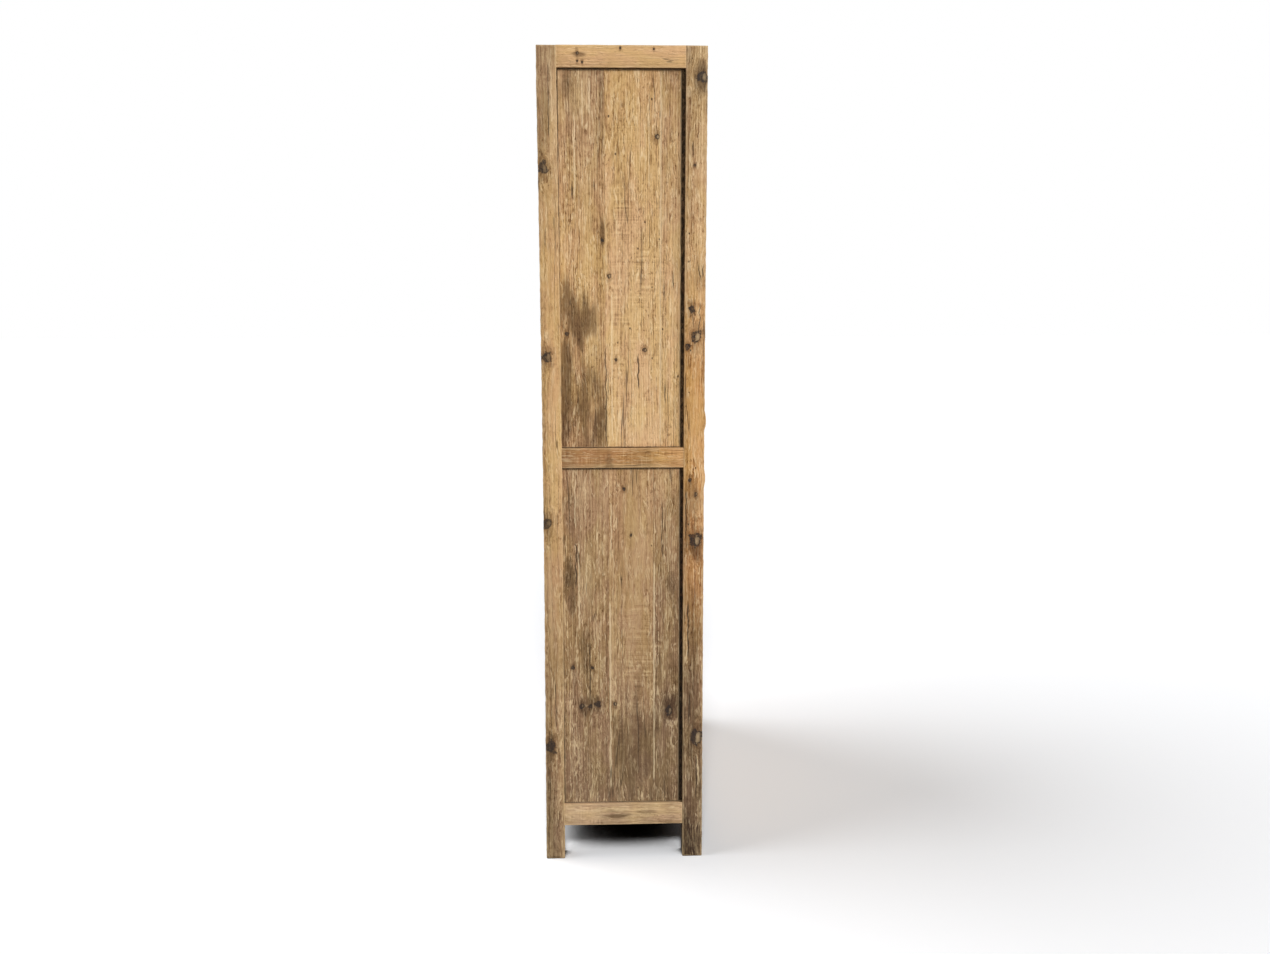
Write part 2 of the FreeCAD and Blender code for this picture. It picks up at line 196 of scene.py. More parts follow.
def on_left_side(column, row, inset=0.0):
    """The point of the left side, so far in from the face of its posts, that a pixel of the photo shows."""
    across = (column - picture_width / 2) / focal_pixels
    down = (row - picture_height / 2) / focal_pixels
    ray = forward + camera_right * across - camera_up * down
    reach = (x_left + inset - camera_place.x) / ray.x
    return camera_place + ray * reach


def pixel_length(row):
    """The length on the left side that one pixel of the photo spans at that height."""
    return (on_left_side(620, row + 1) - on_left_side(620, row)).length


def colour(red, green, blue):
    """A colour as it is read in a picture, from 0 to 255, made linear for a shader."""
    parts = []
    for value in (red, green, blue):
        share = value / 255
        parts.append(share / 12.92 if share <= 0.04045 else ((share + 0.055) / 1.055) ** 2.4)
    return (*parts, 1.0)


def blended(first, second, share):
    return tuple(a + (b - a) * share for a, b in zip(first, second))


# Pine tones, from the palest to the darkest, and then some between them
pine_tones = {
    "straw": colour(211, 171, 121),
    "honey": colour(200, 160, 108),
    "orange": colour(197, 147, 88),
    "grey": colour(184, 155, 119),
    "tan": colour(181, 144, 100),
    "dusty": colour(171, 137, 98),
    "russet": colour(180, 132, 83),
    "brown": colour(158, 126, 90),
    "cedar": colour(152, 112, 70),
    "umber": colour(131, 105, 77),
    "dark": colour(104, 82, 58),
}
for name, first, second, share in (
    ("amber", "orange", "honey", 0.35),
    ("chalk", "grey", "straw", 0.2),
    ("smoke", "grey", "brown", 0.4),
    ("dim", "brown", "umber", 0.75),
    ("dusky", "umber", "dark", 0.25),
):
    pine_tones[name] = blended(pine_tones[first], pine_tones[second], share)


def tones(names):
    """The tones along one board, from its upper, rear or right end on."""
    return [pine_tones[name] for name in names.split()]


# Work on meshes, as at the bench


def clear_selection():
    if bpy.context.object and bpy.context.object.mode != "OBJECT":
        done()
    bpy.ops.object.select_all(action="DESELECT")


def take(piece):
    clear_selection()
    piece.select_set(True)
    bpy.context.view_layer.objects.active = piece


def name_piece(piece, name):
    piece.name = name
    piece.data.name = name
    return piece


def cube(name, low, high):
    """A cube drawn to two corners, with its place in its mesh."""
    low, high = Vector(low), Vector(high)
    clear_selection()
    bpy.ops.mesh.primitive_cube_add(size=1.0, location=(low + high) / 2, scale=high - low)
    piece = name_piece(bpy.context.object, name)
    bpy.ops.object.transform_apply(location=True, rotation=True, scale=True)
    return piece


def edit_all(piece, kind="VERT"):
    take(piece)
    bpy.ops.object.mode_set(mode="EDIT")
    bpy.ops.mesh.select_mode(type=kind)
    bpy.ops.mesh.select_all(action="SELECT")


def done():
    bpy.ops.object.mode_set(mode="OBJECT")


def slice_piece(piece, axis, places):
    """Cuts new rings of edges across the piece at places along one axis."""
    normal = [0.0, 0.0, 0.0]
    normal[axis] = 1.0
    edit_all(piece)
    for place in places:
        point = [0.0, 0.0, 0.0]
        point[axis] = place
        bpy.ops.mesh.select_all(action="SELECT")
        bpy.ops.mesh.bisect(plane_co=point, plane_no=normal)
    done()


def even_places(low, high, step):
    """Places between two ends, about a step apart."""
    count = max(1, round((high - low) / step))
    return [low + (high - low) * i / count for i in range(1, count)]


def draw_out_faces(piece, rule, move):
    """Extrudes the faces that the rule picks by their centre and normal."""
    edit_all(piece, "FACE")
    bpy.ops.mesh.select_all(action="DESELECT")
    done()
    for face in piece.data.polygons:
        face.select = rule(face.center, face.normal)
    bpy.ops.object.mode_set(mode="EDIT")
    bpy.ops.mesh.extrude_region_move(TRANSFORM_OT_translate={"value": move})
    done()


def apply_modifier(piece, modifier):
    take(piece)
    bpy.ops.object.modifier_apply(modifier=modifier.name)


def round_arrises(piece, width):
    bevel = piece.modifiers.new("arris", "BEVEL")
    bevel.width = width
    bevel.segments = 2
    bevel.limit_method = "ANGLE"
    bevel.angle_limit = math.radians(50)
    bevel.profile = 0.55
    apply_modifier(piece, bevel)


def weigh(piece, name, rule):
    """A vertex group with the weight that the rule gives for each place."""
    group = piece.vertex_groups.new(name=name)
    for vertex in piece.data.vertices:
        weight = rule(vertex.co)
        if weight > 0:
            group.add([vertex.index], min(1.0, weight), "REPLACE")
    return group


def clouds(name, size, contrast, depth=2):
    texture = bpy.data.textures.get(name)
    if texture is None:
        texture = bpy.data.textures.new(name, "CLOUDS")
        texture.noise_scale = size
        texture.noise_depth = depth
        texture.contrast = contrast
    return texture


def push(piece, distance, direction="NORMAL", texture=None, group=None):
    """Moves the surface along its normal or an axis, by a texture or all alike, where the group weighs."""
    displace = piece.modifiers.new("push", "DISPLACE")
    displace.strength = distance
    displace.direction = direction
    displace.mid_level = 0.0
    if texture is not None:
        displace.texture = texture
        displace.texture_coords = "LOCAL"
    if group is not None:
        displace.vertex_group = group.name
    apply_modifier(piece, displace)


def swell_slowly(piece, depth):
    push(piece, -depth, texture=clouds("slow_swell", size=0.11, contrast=1.4))


def at_arris(low, high, reach):
    """A rule that is one at the long edges of a block, and nothing elsewhere on it."""

    def rule(place):
        near = sum(min(place[axis] - low[axis], high[axis] - place[axis]) < reach for axis in (X, Y, Z))
        return 1.0 if near >= 2 else 0.0

    return rule


def tone_at(board_tones, share):
    """The tone at a share of the way along the board, where the tones stand evenly spaced."""
    if len(board_tones) == 1:
        return board_tones[0]
    spot = share * (len(board_tones) - 1)
    first = min(int(spot), len(board_tones) - 2)
    return blended(board_tones[first], board_tones[first + 1], spot - first)


def mark_board(piece, low, high, along, through, board_tones, seed=None):
    """Writes what the wood shaders read: the place in the board, half its size, its luck and its tone."""
    order = 3 - along - through, through, along
    middle = (Vector(low) + Vector(high)) / 2
    half = (Vector(high) - Vector(low)) / 2
    own = random.Random(seed) if seed is not None else chance
    luck = [own.random() for _ in order]
    vertices = piece.data.vertices
    places = []
    vertex_tones = []
    for vertex in vertices:
        away = vertex.co - middle
        places.extend(away[axis] for axis in order)
        share = min(1.0, max(0.0, (high[along] - vertex.co[along]) / (high[along] - low[along])))
        vertex_tones.extend(tone_at(board_tones, share)[:3])
    halves = [half[axis] for axis in order] * len(vertices)
    for name, values in zip(BOARD_NOTES, (places, halves, luck * len(vertices), vertex_tones)):
        note = piece.data.attributes.new(name, "FLOAT_VECTOR", "POINT")
        note.data.foreach_set("vector", values)


def age(piece, low, high, along, through, arris, board_tones, chips, swell, seed=None):
    """Rounds the arrises, writes down grain and tone, chips the long edges and leaves the faces uneven."""
    round_arrises(piece, arris)
    mark_board(piece, low, high, along, through, board_tones, seed)
    edge = weigh(piece, "arris", at_arris(low, high, arris * chip_reach))
    push(piece, -chips, texture=clouds("chips", size=0.018, contrast=2.2, depth=3), group=edge)
    swell_slowly(piece, swell)


def timber(name, corners, along, through, arris, board_tones, step=board_step, seed=None):
    """A sawn board, drawn to size and cut in short lengths before it ages."""
    low, high = Vector(corners[0]), Vector(corners[1])
    across = 3 - along - through
    piece = cube(name, low, high)
    slice_piece(piece, along, even_places(low[along], high[along], step))
    if high[across] - low[across] > wide_board:
        slice_piece(piece, across, even_places(low[across], high[across], board_step))
    chips = chip_depth * arris / post_arris
    age(piece, low, high, along, through, arris, board_tones, chips, timber_swell, seed)
    return piece


def fielded(name, corners, field, move, along, through, arris, board_tones, whole=None):
    """A board with a thinner tongue: the tongue is a plate, and the field is drawn out of its face.
    Where it is one of several, whole gives the corners of them all, whose borders then darken as soiling
    and as painted shade."""
    low, high = Vector(corners[0]), Vector(corners[1])
    across = 3 - along - through
    piece = cube(name, low, high)
    for axis in sorted((along, across)):
        inner = [end[axis] for end in field if low[axis] + touching < end[axis] < high[axis] - touching]
        slice_piece(piece, axis, inner)
    outward = Vector(move).normalized()

    def in_field(centre, normal):
        inside = (field[0][axis] < centre[axis] < field[1][axis] for axis in (along, across))
        return normal.dot(outward) >= 0.9 and all(inside)

    draw_out_faces(piece, in_field, move)
    field_low, field_high = list(field[0]), list(field[1])
    field_low[through] = min(low[through], low[through] + move[through])
    field_high[through] = max(high[through], high[through] + move[through])
    slice_piece(piece, along, even_places(field_low[along], field_high[along], board_step))
    slice_piece(piece, across, even_places(field_low[across], field_high[across], field_step))
    edges = whole or (field_low, field_high)
    age(piece, *edges, along, through, arris, board_tones, board_chip_depth, board_swell)
    return piece


def join(name, boards):
    clear_selection()
    for board in boards:
        board.select_set(True)
    bpy.context.view_layer.objects.active = boards[0]
    bpy.ops.object.join()
    piece = name_piece(bpy.context.object, name)
    piece.vertex_groups.clear()
    return piece


def finish_piece(piece, body, node, material):
    """Smooths the piece, gives it its wood or iron, and lets it stand for its node."""
    take(piece)
    bpy.ops.object.shade_smooth_by_angle(angle=math.radians(40))
    piece.data.materials.clear()
    piece.data.materials.append(material)
    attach(piece, body)
    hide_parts(node)


def slab(side, u0, u1, t0, t1, z0, z1):
    """Two corners of a block at one side: u runs level along that side, t inward from the posts' face."""
    if side == "left":
        return (x_left + t0, u0, z0), (x_left + t1, u1, z1)
    if side == "right":
        return (x_right - t1, u0, z0), (x_right - t0, u1, z1)
    if side == "front":
        return (u0, y_front + t0, z0), (u1, y_front + t1, z1)
    return (u0, y_rear - t1, z0), (u1, y_rear - t0, z1)


def span(side):
    if side in COLUMNS:
        return y_front + front_post_depth, y_rear - rear_post_depth
    return x_left + post_width, x_right - post_width


def level_axis(side):
    return Y if side in COLUMNS else X


def through_axis(side):
    return X if side in COLUMNS else Y


# Shader nodes

# Kinds of group sockets
NUMBER = "NodeSocketFloat"
PLACE = "NodeSocketVector"
COLOUR = "NodeSocketColor"


class Flow:
    """A value in a shader tree, with which one reckons as with a number or a vector."""

    def __init__(self, tree, socket):
        self.tree = tree
        self.socket = socket

    def __add__(self, other):
        return reckon("ADD", self, other)

    def __sub__(self, other):
        return reckon("SUBTRACT", self, other)

    def __rsub__(self, other):
        return reckon("SUBTRACT", other, self)

    def __mul__(self, other):
        return reckon("MULTIPLY", self, other)

    def __truediv__(self, other):
        return reckon("DIVIDE", self, other)

    def __abs__(self):
        return reckon("ABSOLUTE", self)

    def __lt__(self, other):
        return reckon("LESS_THAN", self, other)

    def length(self):
        return reckon("LENGTH", self)

    def parts(self):
        node = new_node("ShaderNodeSeparateXYZ", self)
        put(node.inputs[0], self)
        return [Flow(self.tree, socket) for socket in node.outputs]

    def step(self, low, high, start=0.0, end=1.0):
        """Runs smoothly from start to end while the value goes from low to high."""
        node = new_node("ShaderNodeMapRange", self)
        node.interpolation_type = "SMOOTHSTEP"
        labels = "Value", "From Min", "From Max", "To Min", "To Max"
        for label, given in zip(labels, (self, low, high, start, end)):
            put(node.inputs[label], given)
        return Flow(self.tree, node.outputs["Result"])

    def fade(self, low, high):
        return self.step(low, high, 1.0, 0.0)


def put(socket, value):
    """Links a value to the socket, or sets a plain one on it."""
    if isinstance(value, Flow):
        value.tree.links.new(value.socket, socket)
    else:
        socket.default_value = value


def new_node(kind, *values):
    """A node in the tree of the values, some of which may be plain."""
    tree = next(value.tree for value in values if isinstance(value, Flow))
    return tree.nodes.new(kind)


def is_wide(value):
    return isinstance(value, tuple) or isinstance(value, Flow) and value.socket.type != "VALUE"


def reckon(operation, *values, clamp=False):
    """A Math node, or a Vector Math node where a value is a vector or a colour."""
    wide = any(is_wide(value) for value in values)
    node = new_node("ShaderNodeVectorMath" if wide else "ShaderNodeMath", *values)
    node.operation = operation
    if clamp:
        node.use_clamp = True
    for socket, value in zip(node.inputs, values):
        put(socket, value)
    return Flow(node.id_data, node.outputs["Value" if operation == "LENGTH" else 0])


def noise(place, spread, detail=2.0, roughness=0.5, output=0):
    """Smooth noise. Spread is about how often it swings over a metre, alike or along each axis."""
    if isinstance(spread, tuple):
        place = place * spread
        spread = 1.0
    node = new_node("ShaderNodeTexNoise", place)
    labels = "Vector", "Scale", "Detail", "Roughness"
    for label, given in zip(labels, (place, spread, detail, roughness)):
        put(node.inputs[label], given)
    return Flow(node.id_data, node.outputs[output])


def attribute(tree, name):
    node = tree.nodes.new("ShaderNodeAttribute")
    node.attribute_name = name
    return Flow(tree, node.outputs["Vector"])


def joined(x, y, z):
    node = new_node("ShaderNodeCombineXYZ", x, y, z)
    for socket, value in zip(node.inputs, (x, y, z)):
        put(socket, value)
    return Flow(node.id_data, node.outputs[0])


def mixed(share, first, second, blend="MIX"):
    node = new_node("ShaderNodeMix", share, first, second)
    node.data_type = "RGBA"
    node.blend_type = blend
    put(node.inputs["Factor"], share)
    put(node.inputs[6], first)
    put(node.inputs[7], second)
    return Flow(node.id_data, node.outputs[2])


def strewn(place, spread, size, randomness):
    """Points strewn in space: the way to the nearest, in metres, and two numbers of its own."""
    scaled = place * spread
    node = new_node("ShaderNodeTexVoronoi", place)
    node.inputs["Scale"].default_value = 1.0
    node.inputs["Randomness"].default_value = randomness
    put(node.inputs["Vector"], scaled)
    away = (scaled - Flow(node.id_data, node.outputs["Position"])) / size
    pick, other, _ = Flow(node.id_data, node.outputs["Color"]).parts()
    return away, pick, other


def new_group(name, places="", numbers="", colours=""):
    """Begins a shader group with named inputs; spaces in names are underscores. Returns the inputs, and
    give, which ends the group with its outputs by name and returns its tree."""
    tree = bpy.data.node_groups.new(name, "ShaderNodeTree")

    def add_socket(label, side, kind):
        tree.interface.new_socket(label.replace("_", " "), in_out=side, socket_type=kind)

    def give(**outputs):
        for label, value in outputs.items():
            add_socket(label, "OUTPUT", COLOUR if value.socket.type == "RGBA" else NUMBER)
        end = tree.nodes.new("NodeGroupOutput")
        for socket, value in zip(end.inputs, outputs.values()):
            put(socket, value)
        return tree

    for kind, labels in ((COLOUR, colours), (PLACE, places), (NUMBER, numbers)):
        for label in labels.split():
            add_socket(label, "INPUT", kind)
    start = tree.nodes.new("NodeGroupInput")
    return [Flow(tree, socket) for socket in start.outputs if socket.name], give


def use(tree, group, **values):
    """Places a group, with values for its inputs, and returns its outputs by name."""
    node = tree.nodes.new("ShaderNodeGroup")
    node.node_tree = group
    for label, value in values.items():
        put(node.inputs[label.replace("_", " ")], value)
    return {socket.name.replace(" ", "_"): Flow(tree, socket) for socket in node.outputs}


def made(make):
    """Puts the group that a function makes in the place of the function."""
    return make()


@made
def growth_rings():
    """Cut growth rings: light early wood that darkens, then a sharp edge, wandering along the board."""
    given, give = new_group("growth_rings", "Place Luck", "Spacing Wander Push")
    place, luck, spacing, wander, push = given
    x, y, _ = place.parts()
    luck_x, luck_y, _ = luck.parts()
    slow = place * (7.0, 7.0, 0.9) + luck * (31.0, 31.0, 31.0)
    bend = (noise(slow, 1.0, 3.0, 0.55) - 0.5) * 4.0 * wander
    from_pith = joined(x + (luck_x - 0.5) * 0.14, y + (luck_y * 0.05 + 0.022), 0.0)
    distance = from_pith.length() + bend + push * 0.012
    turn = reckon("FRACT", distance / spacing)
    return give(Rings=turn.step(0.25, 0.88) * turn.fade(0.90, 1.0))


@made
def fibre_streaks():
    """Streaks along the grain at three widths, and pale and dark flecks where fibres have torn or worn."""
    (place, luck, reach), give = new_group("fibre_streaks", "Place Luck", "Sway")
    place = place + luck * (13.0, 17.0, 23.0)
    sway = noise(place, (30.0, 30.0, 7.0), 2.0, 0.5, "Color") - (0.5, 0.5, 0.5)
    place = place + sway * joined(reach, reach, 0.0)
    thread = noise(place, (115, 115, 7), 3.0, 0.6)
    pale_side = abs(thread - 0.5).fade(0.010, 0.036)
    dark_side = abs(thread - 0.565).fade(0.008, 0.036)
    frayed = noise(place, (90, 90, 26), 2.0, 0.6)
    weathered = noise(place, (26, 26, 8), 2.0, 0.55).step(0.38, 0.62, 0.35, 1.35)
    torn = noise(place, (300, 300, 105), 2.0, 0.55)
    return give(
        Hue=noise(place, (24, 24, 7), 3.0, 0.6).step(0.36, 0.64),
        Fine=noise(place, (520, 520, 34), 3.0, 0.65),
        Medium=noise(place, (200, 200, 12), 3.0, 0.65),
        Broad=noise(place, (32, 32, 1.9), 3.0, 0.55),
        Mottle=noise(place, (110, 110, 62), 4.0, 0.68),
        Smudges=noise(place, (15, 15, 3.6), 4.0, 0.62).step(0.56, 0.70),
        Scratches=(pale_side - dark_side) * frayed.step(0.44, 0.56),
        Pale_flecks=torn.step(0.56, 0.68) * weathered,
        Dark_flecks=torn.step(0.42, 0.31) * weathered,
    )


@made
def scattered_knots():
    """A few round knots in a board, each in its own cell, with a halo and a push for the rings."""
    (place, luck, density, radius), give = new_group("scattered_knots", "Place Luck", "Density Radius")
    place = place + luck * (3.0, 5.0, 7.0)
    away, pick, size = strewn(place, (9.0, 2.0, 3.4), (9.0, 18.0, 4.25), 0.8)
    there = pick < density
    distance = away.length() * (noise(place, (90, 90, 60)) + 0.5)
    share = distance / (radius * (size * 0.9 + 0.4))
    inside = reckon("SINE", share * 24.0) * 0.12 + 0.50
    core = share.fade(0.75, 1.05) * reckon("MAXIMUM", inside, share.step(0.45, 0.78))
    return give(Core=core * there, Halo=share.fade(0.9, 2.6) * there, Push=share.fade(0.4, 4.5) * there)


@made
def scattered_pits():
    """Small dark holes of nails and worms, in loose clusters."""
    (place, luck, density), give = new_group("scattered_pits", "Place Luck", "Density")
    place = place + luck * (19.0, 11.0, 29.0)
    away, pick, size = strewn(place, (60.0, 60.0, 26.0), (60.0, 60.0, 40.0), 1.0)
    cluster = noise(place, (8.0, 8.0, 4.0), 1.0).step(0.42, 0.62)
    there = pick < density * cluster
    share = away.length() / (size * 0.0022 + 0.0008)
    return give(Pits=share.fade(0.5, 1.0) * there)


@made
def drying_cracks():
    """Long thin cracks along the grain, in some stretches of a board."""
    (place, luck), give = new_group("drying_cracks", "Place Luck")
    place = place + luck * (7.0, 23.0, 5.0)
    lines = abs(noise(place, (42.0, 42.0, 1.7)) - 0.5).fade(0.004, 0.013)
    here = noise(place, (24.0, 24.0, 3.2), 1.0).step(0.50, 0.60)
    return give(Cracks=lines * here * crack_strength)


@made
def saw_marks():
    """Marks of the saw across the grain, a few millimetres apart and worn away in patches."""
    (place, luck), give = new_group("saw_marks", "Place Luck")
    place = place + luck * (5.0, 7.0, 11.0)
    _, _, along = place.parts()
    bowed = along + noise(place, (9.0, 9.0, 5.0), 1.0) * 0.012
    lines = noise(joined(0.0, 0.0, bowed / saw_spacing), 1.0, 1.0, 0.6)
    worn = noise(place, (48.0, 48.0, 36.0), 3.0)
    return give(Marks=(lines - 0.5) * 3.6 * worn.step(0.42, 0.58))


@made
def edge_wear():
    """How near a point is to the board's own arris, made ragged, and the same for a wider border, which the
    finish darkens as soiling and as painted shade in the corners where a sunk panel meets its frame. The
    last output is
    painted shade: a dark line along the seam around a board, and on the tongue deep in the open quirk
    beside it."""
    (place, half, width), give = new_group("edge_wear", "Place Half", "Width")
    x, y, z = abs(half - abs(place)).parts()
    lesser = reckon("MINIMUM", x, y)
    greater = reckon("MAXIMUM", x, y)
    to_arris = reckon("MAXIMUM", lesser, reckon("MINIMUM", greater, z))
    ragged = noise(place, (110, 110, 30), 3.0, 0.6)
    seam = (to_arris / ragged).step(0.0030, 0.0075, 0.8, 0.0)
    crumbs = noise(place, (150, 150, 70), 2.0, 0.6).step(0.36, 0.58, 0.62, 1.0)
    return give(
        Wear=(to_arris / (width * (ragged * 2.2))).fade(0.5, 1.1),
        Dust=(to_arris / (ragged * 2.0 * dust_and_shade_border)).fade(0.2, 1.0),
        Groove=reckon("MAXIMUM", seam, y.step(0.0018, 0.0045) * crumbs),
    )


@made
def mark_edges():
    """How the outlines of the placed marks wander: shared by all the knots and stains of one piece."""
    (position, place), give = new_group("mark_edges", "Position Place")
    narrow = noise(place, (95, 95, 13), 4.0, 0.6)
    wide = noise(place, (32, 32, 9))
    return give(
        Uneven=noise(position, 85.0, 3.0, 0.6) * 2.0,
        Broken=noise(position, 190.0, 3.0, 0.6).step(0.38, 0.60, 0.72, 1.0),
        Ragged=(narrow - 0.5) * 2.0 + (wide - 0.5) * 2.2,
    )


@made
def hand_marks():
    """Soiling that hands leave on the front of a drawer, all around its knob."""
    (position, place, amount), give = new_group("hand_marks", "Position Place", "Amount")
    across, _, along = place.parts()
    smeared = noise(place, (70, 70, 34), 3.0, 0.6)
    reach = joined(across * 1.2, 0.0, along).length() + (smeared - 0.5) * 0.07
    _, y, _ = position.parts()
    front = y.fade(y_front + 0.018, y_front + 0.024)
    return give(Marks=reach.fade(0.015, 0.062) * (front * amount))


@made
def placed_knot():
    """One knot of the left side: a dark broken round with a pale heart, in a smear along the grain.
    What comes in under the names of the outputs are the knots placed before it."""
    results = "Core Heart Halo Push"
    given, give = new_group("placed_knot", "Position", f"Y Z Radius Pale_heart Uneven Broken {results}")
    position, y_mid, z_mid, radius, pale_heart, uneven, broken, *before = given
    _, y, z = position.parts()
    across = (y - y_mid) / radius
    along = (z - z_mid) / radius / 1.15
    share = joined(0.0, across, along).length() * uneven
    inner = joined(0.0, across + 0.28, along * 0.62).length() * uneven
    smear = joined(0.0, across, along / 1.8).length() * uneven
    heart = inner.fade(0.20, 0.46) * pale_heart
    core = share.fade(0.82, 1.14) * broken * (1.0 - heart)
    swirl = reckon("SINE", inner * 22.0) * 0.22 + 0.78
    swell = share.fade(0.4, 4.0) * reckon("DIVIDE", radius, 0.014, clamp=True)
    knot = core, heart * swirl, smear.fade(0.7, 1.9), swell
    knot = [reckon("MAXIMUM", value, earlier) for value, earlier in zip(knot, before)]
    return give(**dict(zip(results.split(), knot)))


@made
def placed_patch():
    """One patch of the left side with a soft ragged outline, such as a stain or a tone that changes."""
    numbers = "Y Z Half_width Half_height Strength Ragged Before"
    given, give = new_group("placed_patch", "Position", numbers)
    position, y_mid, z_mid, half_width, half_height, strength, ragged, before = given
    _, y, z = position.parts()
    share = joined(0.0, (y - y_mid) / half_width, (z - z_mid) / half_height).length() + ragged
    return give(Patch=reckon("MAXIMUM", share.fade(0.35, 1.30) * strength, before))


@made
def placed_line():
    """One line along the grain of the left side, such as a crack or a pale glue line, with two ends."""
    numbers = "Y Lower_end Upper_end Width Sway Before"
    given, give = new_group("placed_line", "Position", numbers)
    position, y_mid, lower, upper, width, sway, before = given
    _, y, z = position.parts()
    track = joined(0.0, y_mid * 6.0, z)
    swung = (noise(track, 26.0, 3.0, 0.55) - 0.5) * (sway * 3.0)
    away = abs(y - y_mid - swung)
    line = (away / (width * (noise(track, 60.0, 2.0, 0.6) * 2.4))).fade(0.3, 1.0)
    within = (z - lower).step(0.0, 0.02) * (upper - z).step(0.0, 0.02)
    return give(Line=reckon("MAXIMUM", line * within, before))


@made
def pine_finish():
    """Lays grain, knots, cracks, wear, stains and soiling over a board's tone, with painted shade at the
    borders, seams and quirks of sunk boards and low down toward the floor; gives colour, roughness and
    height.
    """
    labels = (
        "Rings Fine Medium Broad Mottle Hue Scratches Pale_lines Pale_flecks Dark_flecks Knot Heart Halo "
        "Pits Cracks Saw Wear Dust Groove Stain Pale Grime Contrast Ring_contrast"
    )
    (tone, *given), give = new_group("pine_finish", numbers=labels, colours="Tone")
    given = dict(zip(labels.split(), given))

    def swing(label, amount):
        return (given[label] - 0.5) * amount

    def darkened_by(wood, label, strength, tint):
        return mixed(given[label] * strength, wood, mixed(1.0, wood, tint, "MULTIPLY"))

    total = swing("Fine", 1.3) + swing("Medium", 1.7) + swing("Broad", 1.7) + swing("Mottle", 1.7)
    total = total + given["Scratches"] * 0.42 - (given["Rings"] - 0.32) * given["Ring_contrast"]
    total = total + given["Pale_flecks"] * 0.34 - given["Dark_flecks"] * 0.52 + given["Saw"] * 0.36
    total = total * given["Contrast"]
    tone = tone * joined(1.0, given["Hue"] * 0.045 + 0.96, 1.03 - given["Hue"] * 0.11)
    dark_tone = mixed(1.0, tone, colour(158, 140, 120), "MULTIPLY")
    pale_tone = mixed(0.48, tone, colour(250, 220, 170))
    cream = mixed(0.66, tone, colour(250, 226, 184))
    wood = mixed(reckon("MULTIPLY", total, 1.15, clamp=True), tone, pale_tone)
    wood = mixed(reckon("MULTIPLY", total, -1.15, clamp=True), wood, dark_tone)
    threads = reckon("MAXIMUM", given["Scratches"] * given["Contrast"] * 0.50, given["Pale_lines"])
    wood = mixed(reckon("MINIMUM", threads, 0.72), wood, cream)
    wood = mixed(given["Pale"] * 0.75, wood, pale_tone)
    wood = darkened_by(wood, "Stain", 1.0, colour(148, 140, 130))
    wood = mixed(given["Wear"] * 0.42, wood, pale_tone)
    # The wide border darkens as soiling, and as painted shade in the corners where a sunk panel meets its
    # frame
    wood = darkened_by(wood, "Dust", 0.55, colour(168, 156, 144))
    # Low on the cabinet the wood darkens, partly as soiling and partly as painted shade for light falling
    # off toward the floor
    wood = darkened_by(wood, "Grime", 1.0, colour(176, 168, 160))
    wood = darkened_by(wood, "Halo", 0.65, colour(166, 152, 136))
    # Knots, pits and cracks are the wood's own; the last colour is painted shade along the seam and in the
    # quirk
    for label, strength, tint in (
        ("Knot", 0.96, colour(32, 23, 18)),
        ("Heart", 0.85, colour(184, 160, 124)),
        ("Pits", 0.85, colour(62, 44, 30)),
        ("Cracks", 0.85, colour(52, 38, 26)),
        ("Groove", 0.90, colour(44, 34, 24)),
    ):
        wood = mixed(given[label] * strength, wood, tint)
    rough = swing("Medium", 0.25) + 0.80 - given["Wear"] * 0.14
    rough = reckon("SUBTRACT", rough, given["Knot"] * 0.15, clamp=True)
    relief = swing("Medium", 1.2) + swing("Fine", 0.8)
    for label, rise in (
        ("Rings", 0.35),
        ("Pale_flecks", 0.30),
        ("Scratches", 0.35),
        ("Dark_flecks", -0.45),
        ("Saw", 0.25),
        ("Cracks", -1.6),
        ("Pits", -1.6),
        ("Knot", -0.5),
    ):
        relief = relief + given[label] * rise
    return give(Colour=wood, Roughness=rough, Height=relief)


class Marks:
    """What the photo shows on one piece of the left side, in pixels of the photo. A knot is column, row,
    radius and paleness of its heart. A stain, pale place, calm place or patch of saw marks is column, row,
    half width, half height and strength. A crack or pale line is column, two rows, width and sway."""

    def __init__(self, inset=0.0, **kinds):
        self.inset = inset
        self.kinds = kinds


def placed_knots(put_down, edge, marks, knot):
    for column, row, radius, pale_heart in marks.kinds["knots"]:
        point = on_left_side(column, row, marks.inset)
        size = {"Radius": radius * pixel_length(row), "Pale_heart": pale_heart}
        outline = {"Uneven": edge["Uneven"], "Broken": edge["Broken"]}
        knot = put_down(placed_knot, Y=point.y, Z=point.z, **size, **outline, **knot)
    return knot


def placed_patches(put_down, edge, marks, kind):
    total = 0.0
    for column, row, half_width, half_height, strength in marks.kinds.get(kind, ()):
        point = on_left_side(column, row, marks.inset)
        pixel = pixel_length(row)
        size = {"Half_width": half_width * pixel, "Half_height": half_height * pixel}
        run = {"Strength": strength, "Ragged": edge["Ragged"], "Before": total}
        total = put_down(placed_patch, Y=point.y, Z=point.z, **size, **run)["Patch"]
    return total


def placed_lines(put_down, marks, kind):
    total = 0.0
    for column, top_row, foot_row, width, sway in marks.kinds.get(kind, ()):
        upper = on_left_side(column, top_row, marks.inset)
        lower = on_left_side(column, foot_row, marks.inset)
        pixel = pixel_length(top_row)
        run = {"Width": width * pixel, "Sway": sway * pixel, "Before": total}
        ends = {"Lower_end": lower.z, "Upper_end": upper.z}
        total = put_down(placed_line, Y=(upper.y + lower.y) / 2, **ends, **run)["Line"]
    return total


def new_material(name):
    """A material, its tree and the inputs of its shader."""
    material = bpy.data.materials.new(name)
    material.use_nodes = True
    tree = material.node_tree
    return material, tree, tree.nodes["Principled BSDF"].inputs


